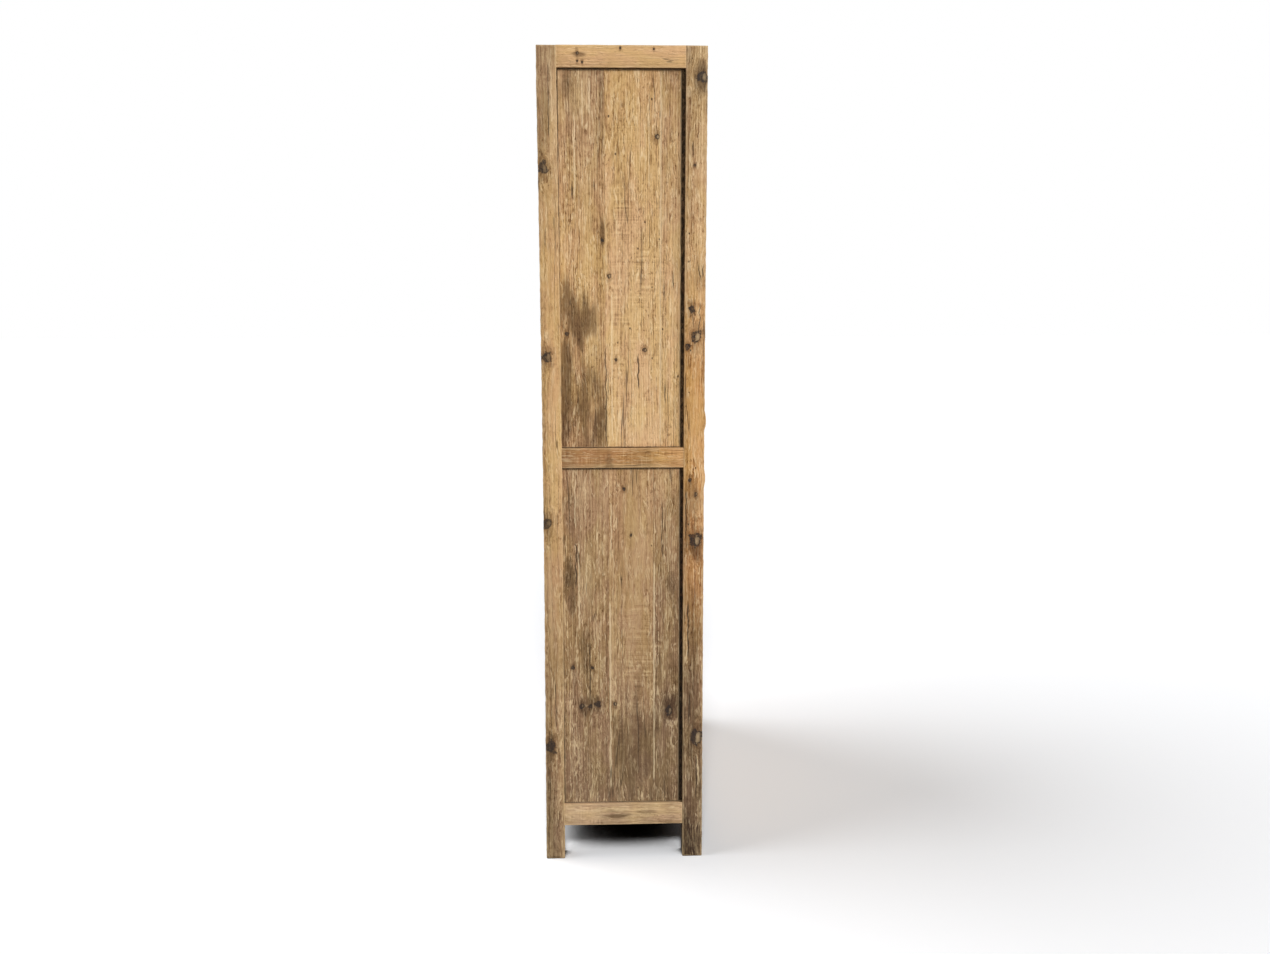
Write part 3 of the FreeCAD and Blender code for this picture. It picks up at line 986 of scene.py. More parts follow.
def raise_surface(shader, height, strength, distance):
    node = new_node("ShaderNodeBump", height)
    for label, given in (("Strength", strength), ("Distance", distance), ("Height", height)):
        put(node.inputs[label], given)
    put(shader["Normal"], Flow(node.id_data, node.outputs["Normal"]))


def pine(
    name, marks=None, tone=None, along=None, spacing=0.006, wander=0.010, knots=0.35, knot_radius=0.009,
    pits=0.25, saw=0.15, smudges=0.0, contrast=1.0, ring_contrast=0.42, wear_width=0.004, dust=0.3,
    groove=0.0, sway=0.020, grime=0.5, handled=0.0,
):
    """An old pine finish. With a tone and a grain axis it reads Object coordinates, for plain CAD nodes."""
    material, tree, shader = new_material(name)
    position = Flow(tree, tree.nodes.new("ShaderNodeTexCoord").outputs["Object"])
    if along is None:
        place, half, luck, tone = (attribute(tree, name) for name in BOARD_NOTES)
    else:
        x, y, z = position.parts()
        place = joined(*{X: (y, z, x), Y: (x, z, y), Z: (x, y, z)}[along])
        half = (9.0, 9.0, 9.0)
        luck = (0.37, 0.61, 0.83)
    board = {"Place": place, "Luck": luck}
    knot = {"Heart": 0.0, **use(tree, scattered_knots, **board, Density=knots, Radius=knot_radius)}
    streaks = use(tree, fibre_streaks, **board, Sway=sway)
    stain = streaks.pop("Smudges") * smudges
    pale = calm = pale_line = crack_line = 0.0
    if marks is not None:
        put_down = partial(use, tree, Position=position)
        edge = put_down(mark_edges, Place=place)
        knot = placed_knots(put_down, edge, marks, knot)
        kinds = "stains", "pales", "calms"
        stain, pale, calm = (placed_patches(put_down, edge, marks, kind) for kind in kinds)
        saw = placed_patches(put_down, edge, marks, "saw_patches") + saw
        pale_line = placed_lines(put_down, marks, "pale_lines")
        crack_line = placed_lines(put_down, marks, "cracks")
    edges = use(tree, edge_wear, Place=place, Half=half, Width=wear_width)
    # Darker below 1.25 m toward the floor: partly soiling and partly painted shade for light that falls off
    # low down; on the drawers the hand marks join it
    _, _, level = position.parts()
    dirt_and_low_shade = level.step(1.25, 0.0, 0.0, grime)
    if handled > 0:
        touched = use(tree, hand_marks, Position=position, Place=place, Amount=handled)["Marks"]
        dirt_and_low_shade = reckon("MAXIMUM", dirt_and_low_shade, touched)
    rings = use(tree, growth_rings, **board, Spacing=spacing, Wander=wander, Push=knot["Push"])
    finish = use(
        tree,
        pine_finish,
        Tone=tone,
        **rings,
        **streaks,
        **use(tree, scattered_pits, **board, Density=pits),
        Knot=knot["Core"],
        Heart=knot["Heart"],
        Halo=knot["Halo"],
        Cracks=reckon("MAXIMUM", use(tree, drying_cracks, **board)["Cracks"], crack_line),
        Saw=use(tree, saw_marks, **board)["Marks"] * saw,
        Wear=edges["Wear"],
        # Painted shade of sunk boards: their darkened border, and the dark line of their seam and quirk
        Dust=edges["Dust"] * dust,
        Groove=edges["Groove"] * groove,
        Stain=stain,
        Pale=pale,
        Pale_lines=pale_line,
        Grime=dirt_and_low_shade,
        Contrast=(1.0 - calm) * contrast,
        Ring_contrast=ring_contrast,
    )
    put(shader["Base Color"], finish["Colour"])
    put(shader["Roughness"], finish["Roughness"])
    raise_surface(shader, finish["Height"], 0.55, 0.0012)
    shader["Specular IOR Level"].default_value = 0.25
    return material


def old_iron(name):
    """Dark iron with a thin brown rust in patches, and a smoother sheen on the bare iron between them."""
    material, tree, shader = new_material(name)
    position = Flow(tree, tree.nodes.new("ShaderNodeTexCoord").outputs["Object"])
    blotch = noise(position, 95.0, 5.0, 0.62)
    grain = noise(position, 900.0, 3.0, 0.6)
    rust = blotch.step(0.50, 0.66)
    skin = mixed(grain.step(0.3, 0.7), colour(46, 42, 39), colour(78, 72, 66))
    rusty = mixed(grain.step(0.35, 0.65), colour(74, 46, 30), colour(112, 70, 42))
    put(shader["Base Color"], mixed(rust, skin, rusty))
    put(shader["Metallic"], rust.step(0.1, 0.9, 0.85, 0.15))
    put(shader["Roughness"], blotch.step(0.35, 0.70, 0.38, 0.72))
    raise_surface(shader, blotch + grain * 0.4, 0.35, 0.0006)
    return material


# Marks that the photo shows: column, row and size in its pixels
front_post_marks = Marks(
    knots=(
        (703, 77, 5.2, 0.6), (692, 309, 3.4, 0.0), (696, 337, 5.6, 0.9), (688, 347, 2.6, 0.0),
        (690, 480, 2.0, 0.0), (696, 494, 2.0, 0.5), (695, 541, 6.6, 0.8), (696, 737, 6.2, 0.8),
        (695, 165, 1.8, 0.0),
    ),
    stains=(
        (702, 80, 7, 18, 0.7), (692, 840, 18, 30, 0.8), (694, 620, 10, 40, 0.3),
        (691, 690, 9, 60, 0.6), (697, 545, 8, 14, 0.6), (700, 275, 5, 20, 0.3),
        (687, 525, 3, 40, 0.5), (692, 498, 9, 20, 0.5), (699, 790, 6, 30, 0.5),
        (692, 855.5, 14, 2.4, 0.8),
    ),
    pales=((694, 430, 10, 40, 0.2), (696, 505, 6, 14, 0.5), (700, 350, 5, 10, 0.5)),
    calms=((695, 420, 9, 50, 0.5),),
    cracks=(
        (693, 138, 160, 0.7, 0.6), (699, 262, 285, 0.6, 2.4), (703, 262, 280, 0.6, 1.6),
        (699, 300, 335, 0.6, 2.5), (686, 488, 540, 0.6, 1.2), (688, 600, 660, 0.8, 1.2),
        (689, 690, 722, 0.7, 1.0), (696, 752, 800, 0.6, 1.0),
    ),
)
rear_post_marks = Marks(
    knots=((543, 168, 5.2, 0.35), (547, 357, 4.8, 0.3), (547.5, 524, 4.8, 0.2), (551, 747, 5.0, 0.0)),
    stains=(
        (545, 52, 14, 16, 0.3), (544, 110, 6, 60, 0.4), (548, 80, 3, 70, 0.3), (543, 140, 6, 10, 0.4),
        (552, 810, 14, 50, 0.5), (549, 760, 6, 26, 0.4), (551, 740, 4, 16, 0.5),
        (553, 859, 14, 2.6, 0.9),
    ),
    pales=((554, 130, 3, 70, 0.3), (552, 480, 6, 60, 0.25), (549.6, 580, 3, 70, 0.4)),
    calms=((552, 300, 6, 120, 0.4), (556, 600, 5, 90, 0.4)),
    cracks=((545, 225, 250, 0.5, 0.6), (548, 60, 140, 0.5, 0.8), (556, 680, 730, 0.4, 0.6)),
)
upper_panel_marks = Marks(
    inset=panel_setback,
    knots=(
        (609, 276, 2.0, 0.7), (616, 360, 1.8, 0.0), (645, 350, 2.0, 0.5), (657, 137, 2.4, 0.8),
        (602, 240, 1.6, 0.0), (567, 334, 2.0, 0.0),
    ),
    stains=(
        (566, 84, 8, 14, 0.5), (565, 306, 8, 30, 0.85), (574, 322, 17, 26, 0.9),
        (593, 320, 4, 20, 0.7), (567, 385, 12, 66, 0.9), (584, 412, 16, 44, 0.7),
        (599, 420, 7, 40, 0.8), (602, 238, 3, 16, 0.9), (601, 85, 3, 24, 0.5),
        (676, 260, 6, 120, 0.2),
    ),
    pales=(
        (632, 270, 26, 90, 0.16), (660, 250, 4, 190, 0.30), (595, 340, 5, 40, 0.3),
        (577, 100, 10, 30, 0.25), (640, 430, 34, 16, 0.25),
    ),
    cracks=(
        (572, 180, 202, 0.9, 0.8), (594, 178, 194, 0.8, 0.8), (664, 281, 302, 0.8, 1.2),
        (673, 270, 292, 0.8, 1.0), (665, 381, 405, 0.8, 0.8), (638, 352, 392, 0.9, 1.8),
        (606, 345, 446, 0.6, 1.6),
    ),
    pale_lines=(
        (660.5, 72, 445, 1.0, 0.6), (612, 290, 440, 0.6, 0.8), (574, 110, 200, 0.8, 1.6),
        (582, 76, 130, 0.8, 1.0), (589, 76, 118, 0.7, 1.0), (649, 90, 190, 0.6, 0.8),
    ),
    saw_patches=((633, 140, 26, 44, 0.9), (633, 275, 30, 110, 1.7), (628, 395, 26, 40, 0.9)),
)
lower_panel_marks = Marks(
    inset=panel_setback,
    knots=(
        (573, 668, 2.0, 0.0), (593, 668, 1.6, 0.0), (598, 704, 3.0, 0.0), (582, 706, 2.4, 0.3),
        (591, 706, 1.8, 0.0), (669, 710, 3.6, 0.5), (624, 489, 1.6, 0.0), (631, 535, 1.4, 0.0),
        (615, 704, 1.8, 0.6),
    ),
    stains=(
        (568, 575, 7, 22, 0.8), (572, 600, 5, 22, 0.6), (584, 650, 6, 26, 0.5),
        (589, 706, 14, 9, 0.6), (670, 581, 6, 12, 0.6), (669, 708, 9, 14, 0.7),
        (571, 520, 8, 40, 0.3), (634, 750, 20, 60, 0.6), (668, 545, 12, 70, 0.25),
    ),
    pales=(
        (640, 545, 14, 60, 0.18), (582, 500, 6, 30, 0.35), (584, 580, 7, 40, 0.35),
        (613, 640, 5, 60, 0.2),
    ),
    calms=((634, 590, 18, 120, 0.5), (600, 500, 10, 30, 0.3), (630, 770, 60, 40, 0.35)),
    cracks=((590, 640, 700, 0.6, 1.0), (662, 500, 560, 0.5, 1.0), (576, 540, 590, 0.8, 2.4)),
    pale_lines=(
        (610.5, 600, 790, 1.0, 0.8), (654.0, 560, 782, 0.9, 0.8), (575, 476, 530, 0.7, 1.6),
        (579, 540, 632, 0.8, 1.6), (586, 560, 600, 0.6, 1.6), (611, 500, 560, 0.6, 1.2),
    ),
    saw_patches=((638, 650, 18, 70, 2.8),),
)
rail_marks = Marks(
    inset=rail_setback,
    knots=(
        (577, 53, 1.6, 0.4), (577, 61, 1.1, 0.0), (582, 62, 1.1, 0.0), (620, 48, 1.0, 0.0),
        (654, 49, 1.0, 0.0),
    ),
    stains=(
        (609, 458, 4, 18, 0.5), (612, 811, 9, 1.8, 0.6), (619, 816, 15, 3.4, 0.85),
        (644, 812, 10, 1.8, 0.5), (579, 54, 7, 2.4, 0.8),
    ),
    pales=((614, 466, 60, 2.5, 0.5), (590, 815, 24, 8, 0.3)),
    calms=((620, 56, 70, 14, 0.5),),
    saw_patches=((586, 815, 22, 12, 4.0), (610, 458, 60, 14, 3.0)),
)

# The pines. Where the photo's own marks are placed, no knots are scattered
marked = {"knots": 0.0, "grime": 0.0}
# Sunk boards take painted shade at their borders, seams and quirks, with some soiling at the borders
sunk = {"pits": 0.3, "dust": 0.5, "groove": 1.0}
front_post_pine = pine("front_post_pine", front_post_marks, **marked, pits=1.0, contrast=0.92)
rear_post_pine = pine("rear_post_pine", rear_post_marks, **marked, pits=0.4, contrast=0.75)
post_pine = pine(
    "post_pine", knots=0.5, knot_radius=0.011, pits=0.6, contrast=0.7, smudges=0.5, grime=0.0
)
side_rail_pine = pine(
    "side_rail_pine", rail_marks, **marked, pits=0.12, contrast=0.55, ring_contrast=0.3
)
rail_pine = pine(
    "rail_pine", knots=0.3, knot_radius=0.006, contrast=0.65, saw=0.0, smudges=0.4, grime=0.0
)
upper_panel_pine = pine(
    "upper_panel_pine", upper_panel_marks, **marked, **sunk, sway=0.028, contrast=0.92, saw=0.2
)
lower_panel_pine = pine(
    "lower_panel_pine", lower_panel_marks, **marked, **sunk, sway=0.034, contrast=0.82
)
panel_pine = pine("panel_pine", **sunk, saw=0.35, smudges=0.85, grime=0.25)
back_pine = pine(
    "back_pine", knots=0.5, knot_radius=0.012, pits=0.4, dust=0.5, groove=0.6, saw=0.7, smudges=0.8,
    grime=0.3,
)
drawer_pine = pine(
    "drawer_pine", spacing=0.009, wander=0.014, knots=0.40, knot_radius=0.011, pits=0.5, saw=0.12,
    smudges=0.6, contrast=0.68, ring_contrast=0.75, wear_width=0.006, dust=0.0, grime=0.25, handled=0.8,
)
front_frame_pine = pine(
    "front_frame_pine", knots=0.15, knot_radius=0.005, contrast=0.6, saw=0.0, smudges=0.4
)
top_pine = pine(
    "top_pine", knots=0.4, pits=0.5, contrast=0.75, saw=0.2, smudges=0.6, ring_contrast=0.6, grime=0.0
)
runner_pine = pine("runner_pine", tone=pine_tones["tan"], along=Y, knots=0.2, contrast=0.6, grime=0.2)
bottom_pine = pine("bottom_pine", tone=pine_tones["dark"], along=X, knots=0.4, contrast=0.8, grime=0.2)
upright_pine = pine(
    "upright_pine", tone=pine_tones["brown"], along=Z, knots=0.4, contrast=0.7, grime=0.2
)
iron = old_iron("old_iron")


# Posts


def bow_in(piece, amount):
    """Lets a post curve by a little at its middle, as old posts do."""

    def rule(place):
        share = min(1.0, max(0.0, place.z / height))
        return math.sin(math.pi * share) ** 1.2

    push(piece, amount, direction="Y", group=weigh(piece, "bow", rule))


def swell_knot(piece, row, reach, half_length):
    """A knot that stands a little proud of the front arris of the front left post."""
    level = on_left_side(knot_column, row).z

    def rule(place):
        if place.y > y_front + knot_swell_depth or place.x > x_left + knot_swell_width:
            return 0.0
        share = abs(place.z - level) / half_length
        inward = max(0.0, place.x - x_left) / knot_swell_fade
        return max(0.0, 1.0 - share * share) * (1.0 - inward)

    push(piece, -reach, direction="Y", group=weigh(piece, "swell", rule))


def make_post(y_side, x_side, names, material, seed):
    node = f"{y_side}_{x_side}_post"
    x0 = x_left if x_side == "left" else x_right - post_width
    y_size = front_post_depth if y_side == "front" else rear_post_depth
    y0 = y_front if y_side == "front" else y_rear - y_size
    corners = (x0, y0, 0.0), (x0 + post_width, y0 + y_size, height)
    step = seen_post_step if x_side == "left" else far_post_step
    piece = timber(f"{node}_wood", corners, Z, X, post_arris, tones(names), step=step, seed=seed)
    bow_in(piece, front_post_bow if y_side == "front" else -rear_post_bow)
    if node == "front_left_post":
        swell_knot(piece, 420.5, 0.0042, 0.024)
        swell_knot(piece, 478.5, 0.0036, 0.020)
    finish_piece(piece, "cabinet", node, material)


# The posts' tones, from the top down, darken toward the foot: partly the wood's own, and partly painted
# shade for light that falls off toward the floor
front_post_tones = "dusty tan honey orange orange russet brown umber dark"
rear_post_tones = "dusty tan honey honey honey tan brown brown umber"
make_post("front", "left", front_post_tones, front_post_pine, seed=3)
make_post("rear", "left", rear_post_tones, rear_post_pine, seed=5)
make_post("front", "right", rear_post_tones, post_pine, seed=8)
make_post("rear", "right", front_post_tones, post_pine, seed=13)


# Rails

rail_tones = {
    "top": "straw",
    "middle": "cedar cedar russet cedar russet russet cedar amber amber amber",
    "bottom": "chalk grey chalk grey smoke grey chalk grey chalk smoke chalk",
}
for side in SIDES:
    start, end = span(side)
    axes = level_axis(side), through_axis(side)
    wood = side_rail_pine if side == "left" else rail_pine
    for level_name, (z0, z1) in rail_heights.items():
        node = f"{side}_{level_name}_rail"
        corners = slab(side, start - seat_depth, end + seat_depth, rail_setback, rail_inner, z0, z1)
        board = timber(f"{node}_wood", corners, *axes, rail_arris, tones(rail_tones[level_name]))
        finish_piece(board, "cabinet", node, wood)


# Panels


def make_panel(wall, part, material, shares, *names):
    """Upright boards side by side, whose tongues reach into the posts and rails."""
    node = f"{wall}_{part}_panel"
    side = "rear" if wall == "back" else wall
    z0, z1 = panel_heights[part]
    u0, u1 = span(side)
    start = u0 + (panel_edge_gap if side == "rear" else front_quirk_width)
    width = u1 - panel_edge_gap - start
    whole = slab(side, start, u1, panel_setback, tongue_inner, z0, z1)
    foot, head = z0 + panel_edge_gap, z1 - panel_edge_gap
    tongue = tongue_inner - tongue_thickness, tongue_inner, z0 - seat_depth, z1 + seat_depth
    boards = []
    edge = start
    for number, share in enumerate(shares):
        next_edge = edge + width * share
        tongue_start = u0 - seat_depth if number == 0 else edge - tongue_overlap
        tongue_end = u1 + seat_depth if number == len(shares) - 1 else next_edge + tongue_overlap
        plate = slab(side, tongue_start, tongue_end, *tongue)
        field = slab(side, edge, next_edge, panel_setback, tongue_inner, foot, head)
        rise = panel_thickness - tongue_thickness - chance.uniform(0.0, field_unevenness)
        move = {"left": (-rise, 0, 0), "right": (rise, 0, 0), "rear": (0, rise, 0)}[side]
        look = board_arris, tones(names[number % len(names)]), whole
        boards.append(fielded("board", plate, field, move, Z, through_axis(side), *look))
        edge = next_edge
    finish_piece(join(f"{node}_boards", boards), "cabinet", node, material)


# Each with its boards' shares of its width, and their tones from the top down
# The left side's tones darken toward the foot: partly the wood's own, and partly painted shade for light
# that falls off toward the floor
make_panel(
    "left", "upper", upper_panel_pine, (0.170, 0.453, 0.377),
    "tan straw straw", "honey straw straw", "dusty honey tan",
)
make_panel(
    "left", "lower", lower_panel_pine, (0.226, 0.377, 0.397),
    "tan brown dim dusky", "tan dusty umber", "dusty brown umber",
)
make_panel(
    "right", "upper", panel_pine, (0.360, 0.240, 0.400), "honey tan", "tan dusty", "straw tan"
)
make_panel(
    "right", "lower", panel_pine, (0.290, 0.430, 0.280), "dusty umber", "tan brown", "grey brown"
)
back_tones = "tan dusty", "grey tan", "dusty brown", "tan brown", "grey dusty"
make_panel("back", "upper", back_pine, (0.160, 0.190, 0.140, 0.180, 0.150, 0.180), *back_tones)
make_panel("back", "lower", back_pine, (0.180, 0.150, 0.190, 0.130, 0.170, 0.180), *back_tones[::-1])


# Front frame between the drawers


def rows_between(z0, z1, count):
    """The foot and the clear height of each row."""
    clear = (z1 - z0 - (count - 1) * divider_height) / count
    return [(z0 + i * (clear + divider_height), clear) for i in range(count)]


def finish_front_frame(node, boards):
    finish_piece(join(f"{node}_wood", boards), "cabinet", node, front_frame_pine)


lower_levels = rows_between(*panel_heights["lower"], lower_rows)
upper_levels = rows_between(*panel_heights["upper"], upper_rows)
drawer_rows = (lower_levels + upper_levels)[::-1]
half_stile = centre_stile_width / 2
column_spans = {
    "left": (x_left + post_width, -half_stile),
    "right": (half_stile, x_right - post_width),
}

stiles = []
for z0, z1 in panel_heights.values():
    ends = z0 - seat_depth, z1 + seat_depth
    corners = slab("front", -half_stile, half_stile, rail_setback, rail_inner, *ends)
    stiles.append(timber("stile", corners, Z, Y, rail_arris, tones("honey tan")))
finish_front_frame("front_centre_stiles", stiles)

dividers = []
for level, clear in lower_levels[:-1] + upper_levels[:-1]:
    for u0, u1 in column_spans.values():
        z0 = level + clear
        heights = z0, z0 + divider_height
        corners = slab("front", u0 - seat_depth, u1 + seat_depth, rail_setback, rail_inner, *heights)
        tone = blended(pine_tones["honey"], pine_tones["brown"], chance.random())
        dividers.append(timber("divider", corners, X, Y, rail_arris, (tone,)))
finish_front_frame("drawer_dividers", dividers)


# Top boards, notched around the posts


def notch(piece, corners):
    """Cuts a block away from the piece."""
    cutter = cube("cutter", *corners)
    cut = piece.modifiers.new("notch", "BOOLEAN")
    cut.operation = "DIFFERENCE"
    cut.object = cutter
    apply_modifier(piece, cut)
    bpy.data.objects.remove(cutter, do_unlink=True)


tops = []
notch_foot, notch_head = notch_heights
inset = rail_inner - cover_ledge
edge = y_front + inset
for share in top_board_shares:
    next_edge = edge + (y_rear - y_front - 2 * inset) * share
    low = (x_left + inset, edge + board_seam, height - cover_thickness)
    high = (x_right - inset, next_edge - board_seam, height)
    board = cube("top_board", low, high)
    for x0, x1 in ((x_left, x_left + post_width), (x_right - post_width, x_right)):
        if share == top_board_shares[0]:
            notch(board, ((x0, y_front, notch_foot), (x1, y_front + front_post_depth, notch_head)))
        if share == top_board_shares[-1]:
            notch(board, ((x0, y_rear - rear_post_depth, notch_foot), (x1, y_rear, notch_head)))
    slice_piece(board, X, even_places(low[0] + uncut_top_end, high[0] - uncut_top_end, top_board_step))
    slice_piece(board, Y, even_places(low[1], high[1], board_step))
    round_arrises(board, board_arris)
    tone = blended(pine_tones["honey"], pine_tones["tan"], chance.random())
    mark_board(board, low, high, X, Z, (tone,))
    swell_slowly(board, top_swell)
    tops.append(board)
    edge = next_edge
finish_piece(join("top_boards_wood", tops), "cabinet", "top_boards", top_pine)


# Drawers


def make_drawer(name, column, level, clear):
    """The five boards of one drawer, with the front lapped over the sides."""
    u0, u1 = column_spans[column]
    x0, x1 = u0 + drawer_side_gap, u1 - drawer_side_gap
    y0 = y_front + drawer_setback
    y1 = y0 + drawer_length
    y_lap = y0 + drawer_front_lap
    front_low, front_high = level + drawer_bottom_gap, level + clear - drawer_top_gap
    side_low = level + drawer_running_gap
    side_high = front_high - drawer_side_drop
    floor = side_low + drawer_bottom_lift
    wood = drawer_wood_thickness
    plate = (x0, y0, front_low), (x1, y_lap, front_high)
    field_foot, field_head = front_low - field_margin, front_high + field_margin
    field = (x0 + wood, y0, field_foot), (x1 - wood, y_lap, field_head)
    move = (0, drawer_front_thickness - drawer_front_lap, 0)
    boards = [fielded("drawer_front", plate, field, move, X, Y, drawer_arris, tones("honey"))]

    def add(part, corners, along, through, names):
        look = board_arris, tones(names), drawer_board_step
        boards.append(timber(f"drawer_{part}", corners, along, through, *look))

    for x in (x0, x1 - wood):
        add("side", ((x, y_lap + board_seam, side_low), (x + wood, y1, side_high)), Y, X, "straw")
    y_back = y1 - drawer_back_inset
    floor_top = floor + drawer_bottom_thickness
    add("back", ((x0 + wood, y_back - wood, floor_top), (x1 - wood, y_back, side_high)), X, Y, "straw")
    low = (x0 + wood - drawer_bottom_tongue, y0 + drawer_bottom_start, floor)
    add("bottom", (low, (x1 - wood + drawer_bottom_tongue, y_back, floor_top)), X, Z, "tan")
    return join(name, boards)


def turned(name, centre, outline, sides, way=-1.0):
    """A turned piece: a disc drawn out step by step along the knob's axis, widening and narrowing."""
    radius, reach = outline[0]
    clear_selection()
    bpy.ops.mesh.primitive_circle_add(
        vertices=sides,
        radius=radius,
        fill_type="NGON",
        location=centre + Vector((0, way * reach, 0)),
        rotation=(math.pi / 2, 0, 0),
    )
    piece = bpy.context.object
    piece.name = name
    bpy.ops.object.transform_apply(location=True, rotation=True, scale=True)
    edit_all(piece, "FACE")
    for next_radius, next_reach in outline[1:]:
        move = (0, way * (next_reach - reach), 0)
        bpy.ops.mesh.extrude_region_move(TRANSFORM_OT_translate={"value": move})
        grow = next_radius / radius
        middle = centre + Vector((0, way * next_reach, 0))
        bpy.ops.transform.resize(value=(grow, 1, grow), center_override=middle)
        radius, reach = next_radius, next_reach
    bpy.ops.mesh.select_all(action="SELECT")
    bpy.ops.mesh.normals_make_consistent(inside=False)
    done()
    return piece


def make_knob(name, centre):
    """Knob and rose in front of the board, washer, nut and the shank's end behind it."""
    behind = centre + Vector((0, drawer_front_thickness, 0))
    over_washer = behind + Vector((0, washer_outline[-1][1], 0))
    parts = [
        turned("knob", centre, knob_outline, 48),
        turned("rose", centre, rose_outline, 48),
        turned("washer", behind, washer_outline, 32, 1.0),
        turned("nut", over_washer, nut_outline, 6, 1.0),
        turned("shank", behind, shank_outline, 20, 1.0),
    ]
    head_start = centre.y - knob_head_start
    head = weigh(parts[0], "head", lambda place: 1.0 if place.y < head_start else 0.0)
    push(parts[0], -hammered_depth, texture=clouds("hammered", size=0.012, contrast=1.5), group=head)
    return join(name, parts)


def copy_moved(source, name, move, number):
    """A copy with its own mesh, moved in its mesh, and with its own grain and tone."""
    piece = source.copy()
    piece.data = source.data.copy()
    name_piece(piece, name)
    bpy.context.scene.collection.objects.link(piece)
    for vertex in piece.data.vertices:
        vertex.co += move
    luck = piece.data.attributes.get("board_luck")
    if luck is not None:
        own = random.Random(first_drawer_seed + number)
        shift = Vector((own.random(), own.random(), own.random()))
        shade = own.uniform(*drawer_shades)
        warmth = own.uniform(*drawer_warmths)
        for item in luck.data:
            moved = item.vector + shift
            item.vector = (moved.x % 1.0, moved.y % 1.0, moved.z % 1.0)
        for item in piece.data.attributes["board_tone"].data:
            red, green, blue = item.vector
            item.vector = (red * shade * (1 + warmth), green * shade, blue * shade * (1 - warmth))
    return piece


drawer_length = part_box("drawer_1_left")[1].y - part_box("drawer_1_left")[0].y
first_level, first_clear = drawer_rows[0]
large_level, large_clear = drawer_rows[upper_rows]
small_drawer = make_drawer("small_drawer", "left", first_level, first_clear)
large_drawer = make_drawer("large_drawer", "left", large_level, large_clear)
left_start, left_end = column_spans["left"]
knob_level = first_level + first_clear / 2
knob_place = Vector(((left_start + left_end) / 2, y_front + drawer_setback, knob_level))
knob = make_knob("turned_knob", knob_place)
for number, (level, clear) in enumerate(drawer_rows, start=1):
    small = number <= upper_rows
    model, model_level = (small_drawer, first_level) if small else (large_drawer, large_level)
    for column in COLUMNS:
        node = f"drawer_{number}_{column}"
        sideways = column_spans[column][0] - left_start
        index = number * 2 + (column == "right")
        box = copy_moved(model, f"{node}_box", Vector((sideways, 0, level - model_level)), index)
        finish_piece(box, node, node, drawer_pine)
        knob_move = Vector((sideways, 0, level + clear / 2 - knob_level))
        own_knob = copy_moved(knob, f"{node}_turned_knob", knob_move, index)
        finish_piece(own_knob, node, f"{node}_knob", iron)
for model in (small_drawer, large_drawer, knob):
    bpy.data.objects.remove(model, do_unlink=True)


# The plain inner parts keep their CAD shape

for node, material in (
    ("rear_centre_post", upright_pine),
    ("centre_runners", runner_pine),
    ("left_runners", runner_pine),
    ("right_runners", runner_pine),
    ("drawer_stops", runner_pine),
    ("bottom_boards", bottom_pine),
    ("runner_screws", iron),
):
    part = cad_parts[node]
    part.data.materials.clear()
    part.data.materials.append(material)


# Floor, light and camera

# Far lamps: where the light comes from, its strength, its angle in degrees, and whether it lights the
# floor alone or all but the floor
lamps = (
    ("key_light", (-1.0, -0.85, 0.75), 2.5, 7, False),
    ("soft_sky_light", (-1.0, -0.3, 0.4), 1.7, 110, False),
    ("front_light", (0.1, -1.0, 0.3), 1.2, 80, False),
    ("rear_light", (1.0, 0.9, 0.35), 3.3, 50, False),
    ("camera_side_floor_light", (-1.0, 0.03, 0.92), 2.55, 11, True),
    ("left_hand_floor_light", (0.12, 1.0, 1.05), 2.0, 50, True),
)
world_strength = 0.07
lamp_distance = 4.0
floor_size = 60.0


def seen_by(tree, *rays):
    """One for rays of these kinds, else zero."""
    path = tree.nodes.new("ShaderNodeLightPath")
    seen = 0.0
    for ray in rays:
        seen = reckon("MAXIMUM", Flow(tree, path.outputs[f"Is {ray} Ray"]), seen)
    return seen


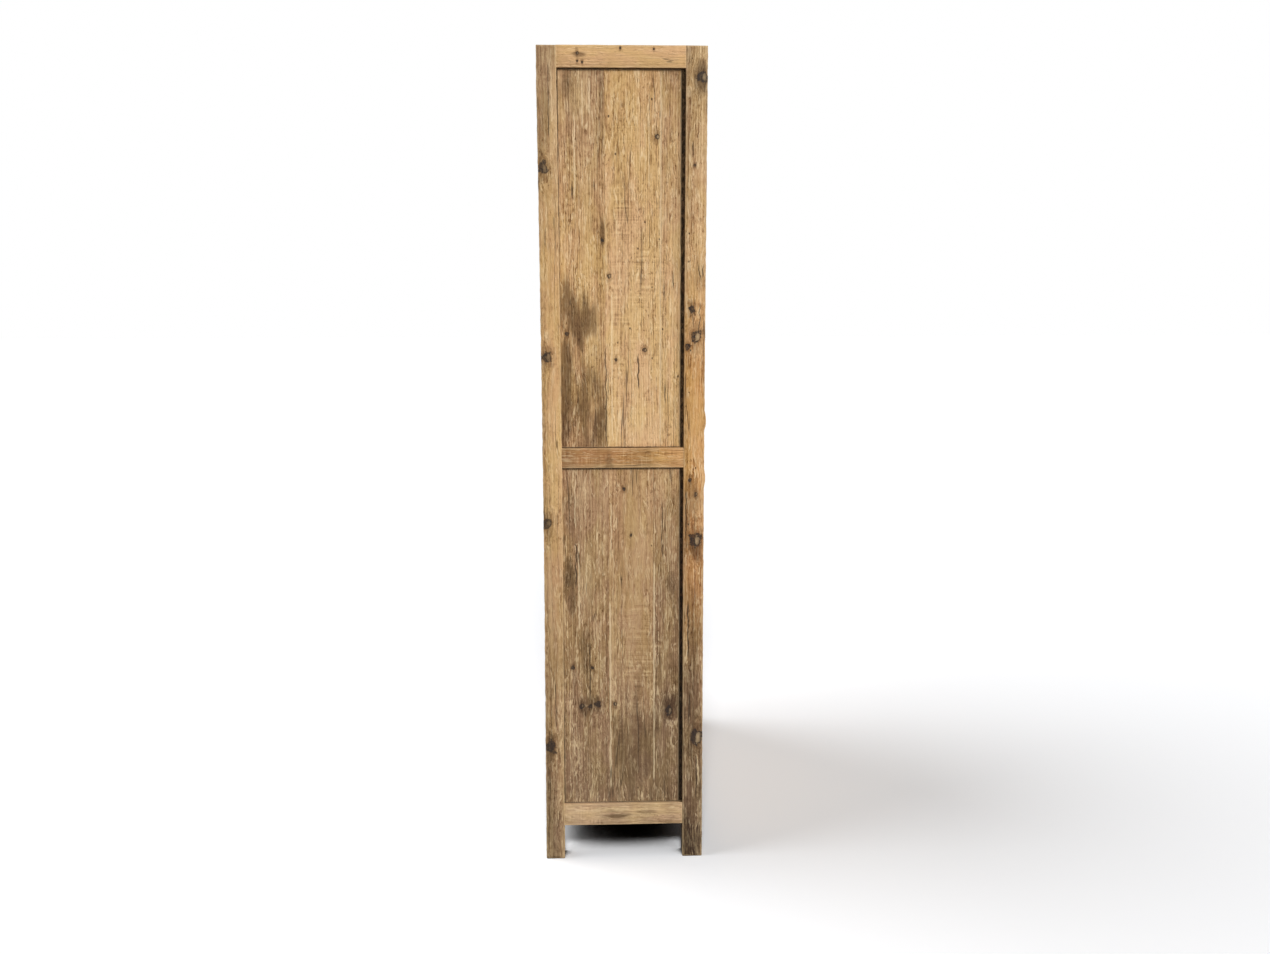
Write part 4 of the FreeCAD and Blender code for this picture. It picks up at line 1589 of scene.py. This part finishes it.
def make_floor():
    """A pale floor, with painted shadow where the cabinet stands close over it."""
    clear_selection()
    bpy.ops.mesh.primitive_plane_add(size=floor_size, location=(0, 0, 0))
    floor = bpy.context.object
    floor.name = "pale_floor"
    material, tree, shader = new_material("pale_floor")
    occlusion = tree.nodes.new("ShaderNodeAmbientOcclusion")
    occlusion.samples = 32
    occlusion.inputs["Distance"].default_value = 0.3
    unshaded_share = Flow(tree, occlusion.outputs["AO"]).step(0.16, 0.33)
    # Painted shadow: near black where the cabinet closes in over the floor, pale in the open
    pale = mixed(unshaded_share, colour(38, 32, 28), colour(250, 251, 253))
    put(shader["Base Color"], mixed(seen_by(tree, "Camera", "Glossy"), colour(78, 78, 78), pale))
    put(shader["Roughness"], 1.0)
    put(shader["Specular IOR Level"], 0.0)
    floor.data.materials.append(material)
    return floor


def new_sun(name, way, strength, angle):
    data = bpy.data.lights.new(name, "SUN")
    data.energy = strength
    data.angle = math.radians(angle)
    lamp = bpy.data.objects.new(name, data)
    bpy.context.scene.collection.objects.link(lamp)
    lamp.location = Vector((0.0, 0.0, 1.0)) + way.normalized() * lamp_distance
    lamp.rotation_euler = (-way).to_track_quat("-Z", "Y").to_euler()
    return lamp


def set_world():
    """White where it is seen, and faint as a light."""
    world = bpy.data.worlds.new("white_room")
    bpy.context.scene.world = world
    world.use_nodes = True
    tree = world.node_tree
    tree.nodes.clear()
    backdrop = tree.nodes.new("ShaderNodeBackground")
    put(backdrop.inputs["Color"], (1, 1, 1, 1))
    seen = seen_by(tree, "Camera", "Glossy", "Transmission")
    put(backdrop.inputs["Strength"], seen * (1.0 - world_strength) + world_strength)
    end = tree.nodes.new("ShaderNodeOutputWorld")
    tree.links.new(backdrop.outputs[0], end.inputs["Surface"])


set_world()
floor = make_floor()
for name, way, strength, angle, floor_only in lamps:
    lamp = new_sun(name, Vector(way), strength, angle)
    reach = bpy.data.collections.new(f"{name}_reach")
    reach.objects.link(floor)
    lamp.light_linking.receiver_collection = reach
    if not floor_only:
        reach.collection_objects[0].light_linking.link_state = "EXCLUDE"

set_camera()
bpy.context.scene.view_settings.view_transform = "Standard"

clear_selection()
